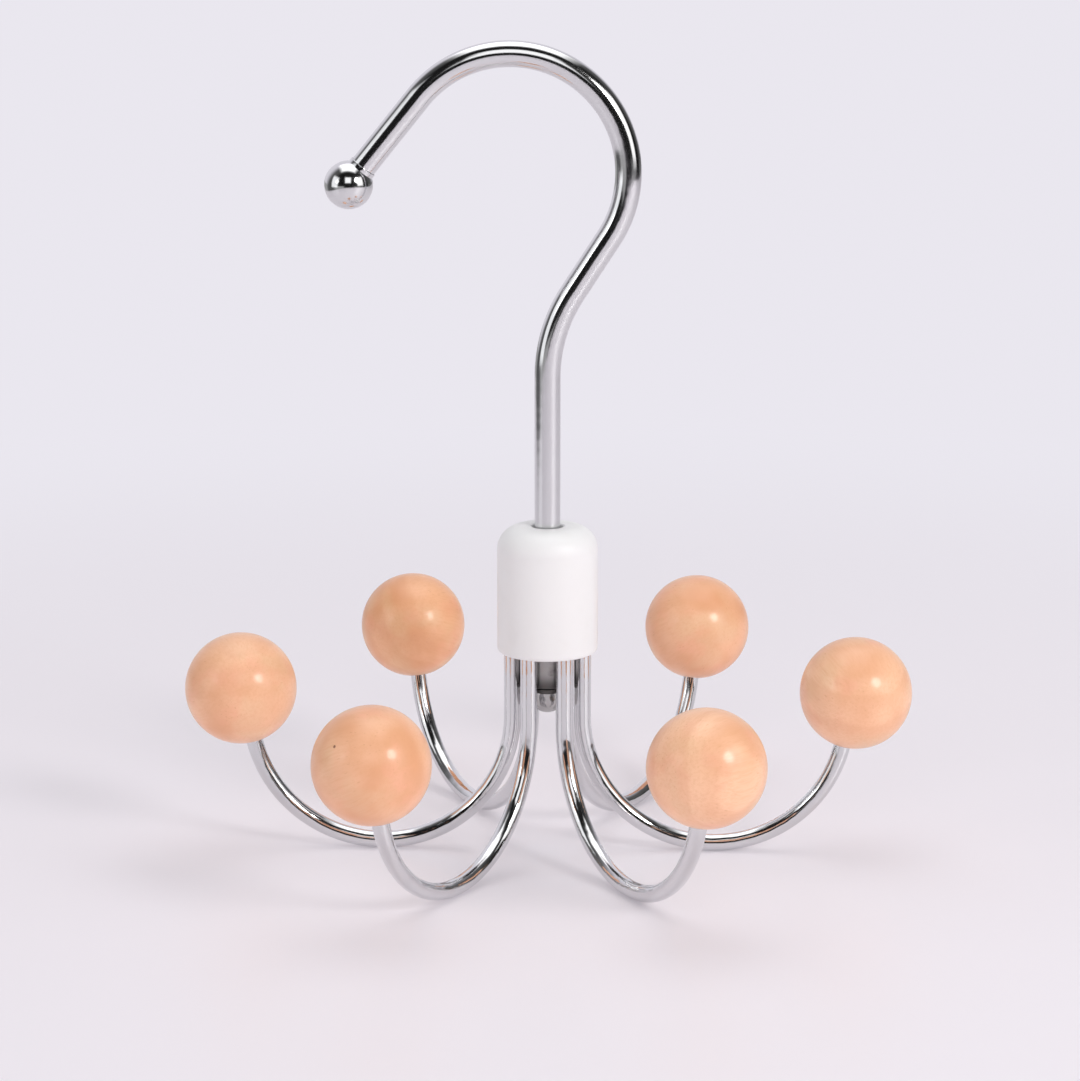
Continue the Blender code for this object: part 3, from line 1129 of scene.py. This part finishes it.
    def shape(self, name: str, material: bpy.types.Material, wire: Wire) -> bpy.types.Mesh:
        """Run the tree for one wire.

        Args:
            name: The mesh's name.
            material: What the wire wears.
            wire: The wire's sizes.

        Returns:
            The wire as a plain mesh.
        """
        tree = self.wiring.tree
        values = {**wire.sizes(), "Material": material}
        carrier = bpy.data.objects.new(name, bpy.data.meshes.new(name))
        modifier = carrier.modifiers.new("bent wire", "NODES")
        modifier.node_group = tree
        for item in tree.interface.items_tree:
            if item.item_type == "SOCKET" and item.in_out == "INPUT" and item.name in values:
                modifier[item.identifier] = values[item.name]
        bpy.context.scene.collection.objects.link(carrier)
        graph = bpy.context.evaluated_depsgraph_get()
        mesh = bpy.data.meshes.new_from_object(
            carrier.evaluated_get(graph), preserve_all_data_layers=True, depsgraph=graph
        )
        carrier.modifiers.remove(modifier)
        bpy.data.objects.remove(carrier, do_unlink=True)
        mesh.name = name
        return finish_mesh(mesh, material)


# Sub-assemblies


@dataclass
class SubAssembly:
    """What the sub-assemblies share: their finishes, and how they make a piece."""

    finishes: Finishes
    body: ClassVar[Body]

    def add_turned(
        self,
        name: str,
        node: str,
        finish: Finish,
        outline: Sequence[Point],
        segments: int,
        placed: Matrix,
        pattern: Matrix = UNMOVED,
    ) -> None:
        """Turn a piece, dress it and hand it over.

        Args:
            name: The piece's name.
            node: The solid that it stands for.
            finish: What it wears.
            outline: Its outline, as points of radius and height.
            segments: Number of segments round its axis.
            placed: From the turning frame to the hanger's.
            pattern: From the turning frame to the pattern's own coordinates.
        """
        mesh = turned_mesh(name, outline, segments, placed, pattern)
        finish_mesh(mesh, self.finishes.materials[finish])
        add_piece(name, mesh, self.body, [node])

    def add_wire(self, name: str, node: str, finish: Finish, tree: WireTree, wire: Wire) -> None:
        """Bend a wire, dress it and hand it over.

        Args:
            name: The piece's name.
            node: The solid that it stands for.
            finish: What it wears.
            tree: The tree that lays it.
            wire: Its sizes.
        """
        mesh = tree.shape(name, self.finishes.materials[finish], wire)
        add_piece(name, mesh, self.body, [node])


@dataclass
class Hub(SubAssembly):
    """The moulded cap over the bush. It is dressed from the solids' own heights."""

    body: ClassVar[Body] = Body.CARRIER
    cap_wall: float = 0.95 * MM
    cap_roof: float = 2.4 * MM
    shoulder_radius: float = 4.6 * MM
    inner_corner: float = 2.0 * MM
    rim_land: float = 0.4 * MM
    rim_round_height: float = 0.9 * MM
    rim_inner_edge: float = 0.05 * MM
    hole_radius: float = 3.05 * MM
    hole_edge: float = 0.4 * MM
    bush_bore: float = 2.6 * MM
    bush_edge: float = 0.3 * MM
    rim_steps: int = 14
    shoulder_steps: int = 28
    hole_steps: int = 10
    corner_steps: int = 12
    cap_segments: int = 144
    bush_segments: int = 96

    def build(self) -> None:
        """Build the cap and the bush."""
        self.build_cap()
        self.build_bush()

    def build_cap(self) -> None:
        """Turn the cap's fine outline and put it over the solid's."""
        low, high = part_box("hub_cover")
        radius, height = high.x, high.z - low.z
        bore = radius - self.cap_wall
        rim = (self.cap_wall - self.rim_land, self.rim_round_height)
        turn = self.shoulder_radius
        roof = height - self.cap_roof
        edge, hole = self.hole_edge, self.hole_radius + self.hole_edge
        corner = self.inner_corner
        outline = [
            (bore, self.rim_inner_edge),
            (bore + self.rim_inner_edge, 0.0),
            *arc((radius - rim[0], rim[1]), rim, -90, 0, self.rim_steps),
            *arc((radius - turn, height - turn), (turn, turn), 0, 90, self.shoulder_steps),
            *arc((hole, height - edge), (edge, edge), 90, 180, self.hole_steps),
            *arc((hole, roof + edge), (edge, edge), 180, 270, EDGE_STEPS),
            *arc((bore - corner, roof - corner), (corner, corner), 90, 0, self.corner_steps),
        ]
        placed = Matrix.Translation((0.0, 0.0, low.z))
        plastic = self.finishes.plastic
        self.add_turned("cap_skin", "hub_cover", plastic, outline, self.cap_segments, placed)

    def build_bush(self) -> None:
        """Turn the bush that the arms are welded to."""
        low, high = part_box("centre_bush")
        outline = ring_outline(self.bush_bore, high.x, high.z - low.z, self.bush_edge)
        placed = Matrix.Translation((0.0, 0.0, low.z))
        steel = self.finishes.steel
        self.add_turned("bush_turned", "centre_bush", steel, outline, self.bush_segments, placed)


@dataclass
class ArmRing(SubAssembly):
    """The six bent wire arms, each with a wooden ball on its end."""

    tree: WireTree
    body: ClassVar[Body] = Body.CARRIER
    count: int = 6
    wire_diameter: float = 3.3 * MM
    wire_sides: int = 40
    ring_radius: float = 6.85 * MM
    bend_radius: float = 25.7 * MM
    bend_turn: float = 167.0
    solid_bend_height: float = 27.2684 * MM
    tip_showing: float = 0.2 * MM
    ball_diameter: float = 22.0 * MM
    socket_depth: float = 9.0 * MM
    socket_gap: float = 0.06 * MM
    socket_lip: float = 0.25 * MM
    ball_segments: int = 112
    ball_steps: int = 72
    timber_seed: int = 8
    grain_lean: float = 0.5  # most lean of a ball's grain either way, in radians
    grain_tip: float = 0.6
    grain_spin: float = 6.28
    board_half_width: float = 0.2
    board_length: Range = (0.5, 2.0)  # where along the board, in metres, a ball is cut
    browner_ball: int = 3
    knotted_ball: int = 5
    knot_side: Triple = (-0.537, -0.670, 0.512)

    def build(self) -> None:
        """Build every arm and its ball."""
        timber = random.Random(self.timber_seed)
        for number in range(1, self.count + 1):
            station = math.tau * (number - 1) / self.count
            self.build_arm(number, station)
            self.build_ball(number, station, timber)

    @property
    def wire_radius(self) -> float:
        """Radius of the arms' wire."""
        return self.wire_diameter / 2

    def build_arm(self, number: int, station: float) -> None:
        """Bend one arm, its foot touching the surface that the hanger stands on.

        Args:
            number: The arm's number.
            station: Its turn round +Z, in radians.
        """
        node = f"arm_{number}"
        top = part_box(node)[1].z
        runs = (
            Run(length=top - (self.bend_radius + self.wire_radius)),
            Run(radius=self.bend_radius, turn=-self.bend_turn),
            Run(length=self.tip_showing + self.socket_depth),
        )
        start = (self.ring_radius, 0.0, top)
        wire = Wire(self.wire_radius, self.wire_sides, start, math.pi, runs, station)
        self.add_wire(f"arm_wire_{number}", node, self.finishes.arm_chrome, self.tree, wire)

    def build_ball(self, number: int, station: float, timber: random.Random) -> None:
        """Turn one ball, cut from its own piece of timber.

        Args:
            number: The ball's number.
            station: Its turn round +Z, in radians.
            timber: Where the random draws come from.
        """
        turned = math.radians(self.bend_turn)
        end = Vector((-math.cos(turned), 0.0, -math.sin(turned))) * self.bend_radius
        end += Vector((self.ring_radius + self.bend_radius, 0.0, self.solid_bend_height))
        heading = Vector((math.sin(turned), 0.0, -math.cos(turned)))
        centre = end + heading * (self.tip_showing + self.ball_diameter / 2)
        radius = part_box("ball_1")[1].x - centre.x
        socket_radius = self.wire_radius + self.socket_gap
        ball = SocketedBall(
            radius, socket_radius, self.socket_depth, self.socket_lip, self.ball_steps
        )
        tilt = Matrix.Rotation(math.atan2(heading.x, heading.z), 4, "Y")
        placed = Matrix.Rotation(station, 4, "Z") @ Matrix.Translation(centre) @ tilt
        cut, board = self.cut_timber(timber)
        if number == self.knotted_ball:
            knot = placed.to_3x3().inverted() @ Vector(self.knot_side) * radius
            board = Vector(self.finishes.wood.knot_place) - cut.to_matrix() @ knot
        pattern = Matrix.Translation(board) @ cut.to_matrix().to_4x4()
        is_browner = number == self.browner_ball
        self.add_turned(
            name=f"wooden_ball_{number}",
            node=f"ball_{number}",
            finish=self.finishes.browner_wood if is_browner else self.finishes.wood,
            outline=ball.outline(),
            segments=self.ball_segments,
            placed=placed,
            pattern=pattern,
        )

    def cut_timber(self, timber: random.Random) -> tuple[Euler, Vector]:
        """Draw how one ball is cut from the board.

        Args:
            timber: Where the random draws come from.

        Returns:
            The ball's turn in the timber, and its place there.
        """
        lean = timber.uniform(-self.grain_lean, self.grain_lean) + math.pi / 2
        tip = timber.uniform(-self.grain_tip, self.grain_tip)
        spin = timber.uniform(0, self.grain_spin)
        width = self.board_half_width
        across = [timber.uniform(-width, width) for _ in range(2)]
        return Euler([lean, tip, spin]), Vector([*across, timber.uniform(*self.board_length)])


@dataclass
class SwivelHook(SubAssembly):
    """The hook's wire, its tip ball and the fittings that hold the stem in the bush."""

    tree: WireTree
    body: ClassVar[Body] = Body.HOOK
    wire_diameter: float = 5.0 * MM
    wire_sides: int = 56
    spigot_diameter: float = 3.2 * MM
    shank: float = 28.94 * MM
    neck_radius: float = 30.0 * MM
    neck_turn: float = 33.0
    neck_run: float = 12.5 * MM
    loop_radius: float = 22.3 * MM
    loop_turn: float = 174.0
    tip_run: float = 16.4 * MM
    tip_ball_diameter: float = 9.2 * MM
    tip_socket_depth: float = 3.2 * MM
    tip_gap: float = 0.05 * MM
    tip_lip: float = 0.09 * MM
    tip_neck: float = 0.85 * MM
    tip_steps: int = 64
    tip_segments: int = 112
    tip_pattern_shift: Triple = (0.03, 0.0, 0.0)
    seat_gap: float = 0.3 * MM
    fitting_edge: float = 0.12 * MM
    collar_edge: float = 0.4 * MM
    end_cap_skirt: float = 1.3 * MM
    spigot_in_end_cap: float = 2.6 * MM
    dome_steps: int = 32
    fitting_segments: int = 96

    def build(self) -> None:
        """Build the wire, the tip ball and the fittings."""
        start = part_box("hook_wire")[0].z
        runs = self.runs(start)
        self.build_wire(start, runs)
        self.build_tip_ball(start, runs)
        self.build_washers()
        self.build_end_cap()

    @property
    def wire_radius(self) -> float:
        """Radius of the hook's wire."""
        return self.wire_diameter / 2

    def runs(self, start: float) -> tuple[Run, ...]:
        """The wire's runs, from its spigot to its end in the tip ball.

        Args:
            start: Height of the spigot's end.

        Returns:
            The runs in order.
        """
        neck_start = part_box("hub_cover")[1].z + self.shank
        return (
            Run(length=neck_start - start),
            Run(radius=self.neck_radius, turn=self.neck_turn),
            Run(length=self.neck_run),
            Run(radius=self.loop_radius, turn=-self.loop_turn),
            Run(length=self.tip_run + self.tip_socket_depth),
        )

    def build_wire(self, start: float, runs: Sequence[Run]) -> None:
        """Bend the hook's wire over its spigot, stem, neck and loop.

        Args:
            start: Height of the spigot's end.
            runs: The wire's runs.
        """
        wire = Wire(
            radius=self.wire_radius,
            sides=self.wire_sides,
            start=(0.0, 0.0, start),
            heading=0.0,
            runs=runs,
            thin_end_radius=self.spigot_diameter / 2,
            thin_end_length=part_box("centre_bush")[0].z - start,
        )
        self.add_wire("hook_bent_wire", "hook_wire", self.finishes.chrome, self.tree, wire)

    def build_tip_ball(self, start: float, runs: Sequence[Run]) -> None:
        """Turn the ball on the hook's tip and set it at the end of the runs.

        Args:
            start: Height of the spigot's end.
            runs: The wire's runs.
        """
        place, heading = Vector((0.0, 0.0, start)), 0.0
        for run in runs:
            half = math.radians(run.turn) / 2
            chord = run.along * (math.sin(half) / half if half else 1.0)
            place += Vector((math.sin(heading + half), 0.0, math.cos(heading + half))) * chord
            heading += 2 * half
        radius = self.tip_ball_diameter / 2
        ahead = Vector((math.sin(heading), 0.0, math.cos(heading)))
        centre = place + ahead * (radius - self.tip_socket_depth)
        ball = SocketedBall(
            radius=radius,
            socket_radius=self.wire_radius + self.tip_gap,
            socket_depth=self.tip_socket_depth,
            lip=self.tip_lip,
            steps=self.tip_steps,
            neck=self.tip_neck,
        )
        self.add_turned(
            name="tip_ball_plated",
            node="hook_tip_ball",
            finish=self.finishes.chrome,
            outline=ball.outline(),
            segments=self.tip_segments,
            placed=Matrix.Translation(centre) @ Matrix.Rotation(heading, 4, "Y"),
            pattern=Matrix.Translation(self.tip_pattern_shift),
        )

    def build_washers(self) -> None:
        """Turn the collar and the two washers."""
        pressed = self.wire_radius + self.seat_gap
        spigot = self.spigot_diameter / 2 + self.seat_gap
        for node, bore, edge in (
            ("stop_collar", pressed, self.collar_edge),
            ("upper_washer", pressed, self.fitting_edge),
            ("lower_washer", spigot, self.fitting_edge),
        ):
            low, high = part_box(node)
            outline = ring_outline(bore, high.x, high.z - low.z, edge)
            self.add_fitting(f"{node}_turned", node, self.finishes.steel, outline, low.z)

    def build_end_cap(self) -> None:
        """Turn the domed end that is riveted on the spigot."""
        low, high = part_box("end_cap")
        radius, height = high.x, high.z - low.z
        dome_height = height - self.end_cap_skirt
        spigot = self.spigot_diameter / 2 + self.seat_gap
        socket_end = height - self.spigot_in_end_cap - self.seat_gap
        dome = arc((0.0, dome_height), (radius, dome_height), -90, 0, self.dome_steps)
        dome[0] = (0.0, 0.0)
        edge = self.fitting_edge
        outline = [
            *dome,
            *arc((radius - edge, height - edge), (edge, edge), 0, 90, EDGE_STEPS),
            (spigot, height),
            (spigot, socket_end),
            (0.0, socket_end),
        ]
        # The domed end wears the chrome darkened with painted shade.
        self.add_fitting("end_cap_domed", "end_cap", self.finishes.shade_dimmed_chrome, outline, low.z)

    def add_fitting(
        self, name: str, node: str, finish: Finish, outline: Sequence[Point], height: float
    ) -> None:
        """Turn one fitting that stands on the swivel axis at a height."""
        placed = Matrix.Translation((0.0, 0.0, height))
        self.add_turned(name, node, finish, outline, self.fitting_segments, placed)


# Studio


def direction(to_the_right: float, above: float) -> Vector:
    """Direction from the hanger towards a place in the studio.

    Args:
        to_the_right: Degrees to the right of the front, seen from there.
        above: Degrees above the horizon.

    Returns:
        The direction, of length 1.
    """
    side, up = math.radians(to_the_right), math.radians(above)
    level = math.cos(up)
    return Vector((math.sin(side) * level, -math.cos(side) * level, math.sin(up)))


class LampShape(Enum):
    """Outlines of the studio's lights."""

    PANEL = "RECTANGLE"
    ROUND = "ELLIPSE"


@dataclass(frozen=True)
class Lamp:
    """One soft studio light, aimed at the hanger and soft at its edges.

    Its direction is given from the hanger: degrees to the right of the camera's side, and degrees
    above the horizon. Its brightness is that of the lit surface, where the background is about 0.8.
    """

    name: str
    shape: LampShape
    to_the_right: float
    above: float
    width: float
    height: float
    brightness: float
    colour: Colour = (1.0, 1.0, 1.0)
    distance: float = 1.0
    soft_edge: float = 0.20  # as a share of its width and height

    def hang(self, target: Vector) -> None:
        """Add the light, unseen by the camera but seen in the chrome.

        Args:
            target: The point that it is aimed at.
        """
        light = bpy.data.lights.new(self.name, "AREA")
        light.shape = self.shape.value
        light.size, light.size_y = self.width, self.height
        light.color = self.colour
        light.energy = self.brightness * math.pi * self.width * self.height
        self.soften(light)
        towards = direction(self.to_the_right, self.above)
        lamp = bpy.data.objects.new(self.name, light)
        lamp.location = target + towards * self.distance
        lamp.rotation_mode = "QUATERNION"
        lamp.rotation_quaternion = towards.to_track_quat("Z", "Y")
        lamp.visible_camera = False
        bpy.context.scene.collection.objects.link(lamp)

    def soften(self, light: bpy.types.Light) -> None:
        """Let the light fade towards its edges.

        Args:
            light: The area light to soften.
        """
        light.use_nodes = True
        wiring = Wiring(light.node_tree)
        place = wiring.add("ShaderNodeNewGeometry").outputs["Parametric"]
        off_centre = wiring.vector_math("SUBTRACT", place, (0.5, 0.5, 0.0))
        parts = wiring.split(wiring.vector_math("ABSOLUTE", off_centre))[:2]
        if self.shape is LampShape.PANEL:
            reach = wiring.math("MAXIMUM", *parts)
        else:
            squares = [wiring.math("MULTIPLY", part, part) for part in parts]
            reach = wiring.math("SQRT", wiring.math("ADD", *squares))
        strength = wiring.remap(reach, (0.5 - self.soft_edge, 0.5), (1.0, 0.0), smooth=True)
        wiring.feed(light.node_tree.nodes["Emission"], {"Strength": strength})


@dataclass
class Studio:
    """Plain pale floor, soft lights and the camera."""

    target: Triple = (0.0, 0.0, 0.10)
    floor_radius: float = 6.0
    floor_segments: int = 128
    table_right: float = 0.95
    table_left: float = 0.42
    table_front: float = 0.95
    table_edge: Range = (0.88, 1.12)  # shares of the way to its edge between which it ends
    near_colour: Colour = (0.820, 0.777, 0.831)
    far_colour: Colour = (0.822, 0.800, 0.862)
    cloud_scale: float = 2.5
    cloud_paleness: float = 1.04
    floor_share: float = 0.72
    floor_glow: float = 0.285
    floor_bounce: float = 0.26
    floor_gloss: float = 0.42
    floor_fade: Range = (0.11, 0.46)  # distances between which it turns into the background
    fill: float = 0.29
    front_shade: float = 0.006
    side_shade: float = 0.10
    room_below: tuple[Point, ...] = (  # sideways direction from -1 to 1, and the shade there
        (-0.97, 0.10),
        (-0.86, 0.40),
        (-0.40, 0.40),
        (-0.22, 0.006),
        (0.42, 0.006),
        (0.56, 0.18),
        (0.88, 0.18),
        (0.97, 0.015),
    )
    backdrop_turn: float = -165.0
    backdrop_lift: float = 20.0
    room_sides: Range = (-0.15, 0.35)  # cosines from the backdrop's middle
    backdrop: Range = (0.40, 0.88)
    camera_azimuth: float = 1.857
    camera_elevation: float = 12.517
    camera_roll: float = -0.022
    camera_distance: float = 0.6
    camera_side: float = -1.443 * MM
    camera_height: float = 62.393 * MM
    camera_reach: Range = (0.01, 50.0)
    focal_pixels: float = 3103.0
    long_side_pixels: float = 1081.0
    sensor: float = 36.0
    lamps: tuple[Lamp, ...] = (
        Lamp("right_panel", LampShape.PANEL, 62.0, 19.0, 0.66, 0.80, 1.4, (1.0, 0.99, 0.98)),
        Lamp("right_lamp", LampShape.ROUND, 47.0, 27.0, 0.38, 0.38, 12.0, (1.0, 0.99, 0.97), 0.97),
        Lamp("left_panel", LampShape.PANEL, -66.0, 15.0, 0.72, 0.88, 1.1, (0.98, 0.99, 1.0)),
        Lamp("left_lamp", LampShape.ROUND, -54.0, 18.0, 0.24, 0.24, 2.3, (0.98, 0.99, 1.0), 0.97),
        Lamp("front_window", LampShape.PANEL, 0.0, 29.0, 0.60, 0.58, 1.3),
        Lamp("overhead", LampShape.PANEL, 180.0, 83.0, 1.40, 1.20, 1.85, soft_edge=0.32),
    )

    def build(self) -> None:
        """Build the floor, the surroundings, the lights and the camera."""
        self.build_floor()
        self.build_world()
        for lamp in self.lamps:
            lamp.hang(Vector(self.target))
        self.build_camera()
        bpy.context.scene.view_settings.view_transform = "Standard"

    def build_floor(self) -> None:
        """Lay a large round floor that turns into the plain background far out."""
        working = bmesh.new()
        bmesh.ops.create_circle(
            working, cap_ends=True, segments=self.floor_segments, radius=self.floor_radius
        )
        mesh = bpy.data.meshes.new("floor")
        working.to_mesh(mesh)
        working.free()
        mesh.materials.append(self.floor_material())
        floor = bpy.data.objects.new("floor", mesh)
        bpy.context.scene.collection.objects.link(floor)

    def floor_material(self) -> bpy.types.Material:
        """Pale table top, lit near the hanger, even far out, and clear when seen from below.

        Returns:
            The floor's material.
        """
        painter = Painter("pale_floor")
        wiring = painter.wiring
        ray = wiring.add("ShaderNodeLightPath").outputs
        place = wiring.add("ShaderNodeTexCoord").outputs["Object"]
        clouds = wiring.noise(place, self.cloud_scale)
        paler = (*(min(1.0, channel * self.cloud_paleness) for channel in self.near_colour), 1.0)
        tint = wiring.blend(clouds, opaque(self.near_colour), paler)
        is_diffuse = ray["Is Diffuse Ray"]
        painter.set(
            Base_Color=wiring.blend(self.floor_share, grey(0.0), tint),
            Emission_Color=tint,
            Emission_Strength=wiring.math(
                "MULTIPLY_ADD", is_diffuse, self.floor_bounce, self.floor_glow
            ),
            Roughness=self.floor_gloss,
        )
        fade = wiring.remap(wiring.measure("LENGTH", place), self.floor_fade, smooth=True)
        even = wiring.math("MULTIPLY", fade, ray["Is Camera Ray"])
        far = wiring.shine(opaque(self.far_colour))
        faded = wiring.blend_shaders(even, painter.shader.outputs[0], far)
        unseen = wiring.math("MULTIPLY", self.past_the_edge(wiring, place), ray["Is Glossy Ray"])
        off = wiring.shine(self.below_the_table(wiring, place))
        ended = wiring.blend_shaders(unseen, faded, off)
        below = wiring.add("ShaderNodeNewGeometry").outputs["Backfacing"]
        clear = wiring.result("ShaderNodeBsdfTransparent")
        topped = wiring.blend_shaders(below, ended, clear)
        wiring.feed(painter.material.node_tree.nodes["Material Output"], {"Surface": topped})
        return painter.material

    def past_the_edge(self, wiring: Wiring, place: Socket) -> Socket:
        """Where the real table would have ended, at its front and sides.

        Args:
            wiring: The floor material's nodes.
            place: Object coordinates.

        Returns:
            0 on the table, 1 past its edge.
        """
        rightward_place, forward_place, _ = wiring.split(place)
        forward = wiring.math("MINIMUM", forward_place, 0.0)
        forward = wiring.math("DIVIDE", forward, self.table_front)
        rightward = wiring.math("DIVIDE", rightward_place, self.table_right)
        leftward = wiring.math("DIVIDE", rightward_place, -self.table_left)
        both = wiring.combine(wiring.math("MAXIMUM", rightward, leftward), forward, 0.0)
        return wiring.remap(wiring.measure("LENGTH", both), self.table_edge, smooth=True)

    def below_the_table(self, wiring: Wiring, place: Socket) -> Socket:
        """What the chrome sees past the table's edge: dark in front, dim and paler at the sides.

        Args:
            wiring: The floor material's nodes.
            place: Object coordinates.

        Returns:
            The colour.
        """
        sideways = wiring.split(wiring.vector_math("NORMALIZE", place))[0]
        ramp = wiring.add("ShaderNodeValToRGB", {0: wiring.remap(sideways, (-1.0, 1.0))})
        stops = ramp.color_ramp.elements
        stops.remove(stops[1])
        for number, (side, shade) in enumerate(self.room_below):
            stop = stops.new((side + 1.0) / 2.0) if number else stops[0]
            stop.position = (side + 1.0) / 2.0
            stop.color = grey(shade)
        return ramp.outputs[0]

    def build_world(self) -> None:
        """Pale to the eye and to matt surfaces; to the chrome, a dim room with a pale backdrop."""
        world = bpy.data.worlds.new("studio")
        world.use_nodes = True
        bpy.context.scene.world = world
        wiring = Wiring(world.node_tree)
        ray = wiring.add("ShaderNodeLightPath").outputs
        seen_from = wiring.add("ShaderNodeTexCoord").outputs["Generated"]
        to_backdrop = direction(self.backdrop_turn, self.backdrop_lift)
        facing = wiring.measure("DOT_PRODUCT", seen_from, to_backdrop)
        sides = wiring.remap(facing, self.room_sides, smooth=True)
        back = wiring.remap(facing, self.backdrop, smooth=True)
        far = opaque(self.far_colour)
        room = wiring.blend(sides, grey(self.front_shade), grey(self.side_shade))
        room = wiring.blend(back, room, far)
        lit = wiring.blend(ray["Is Glossy Ray"], grey(self.fill), room)
        seen = wiring.blend(ray["Is Camera Ray"], lit, far)
        wiring.feed(world.node_tree.nodes["Background"], {"Color": seen})

    def build_camera(self) -> None:
        """Stand the camera where the photograph was taken from."""
        azimuth = math.radians(self.camera_azimuth)
        back = direction(self.camera_azimuth, self.camera_elevation)
        side = Vector((math.cos(azimuth), math.sin(azimuth), 0.0))
        data = bpy.data.cameras.new("camera")
        data.sensor_width = self.sensor
        data.lens = self.focal_pixels * self.sensor / self.long_side_pixels
        data.clip_start, data.clip_end = self.camera_reach
        camera = bpy.data.objects.new("camera", data)
        camera.location = side * self.camera_side + Vector((0.0, 0.0, self.camera_height))
        camera.location += back * self.camera_distance
        camera.rotation_mode = "QUATERNION"
        roll = Quaternion((0.0, 0.0, 1.0), math.radians(self.camera_roll))
        camera.rotation_quaternion = (-back).to_track_quat("-Z", "Y") @ roll
        bpy.context.scene.collection.objects.link(camera)
        bpy.context.scene.camera = camera


def main() -> None:
    """Dress the hanger and set up the studio."""
    logging.basicConfig(level=logging.INFO, format="%(name)s: %(message)s")
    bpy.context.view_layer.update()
    finishes = Finishes()
    finishes.build()
    tree = WireTree()
    Hub(finishes).build()
    ArmRing(finishes, tree).build()
    SwivelHook(finishes, tree).build()
    Studio().build()
    bpy.context.view_layer.update()


if __name__ == "__main__":
    main()
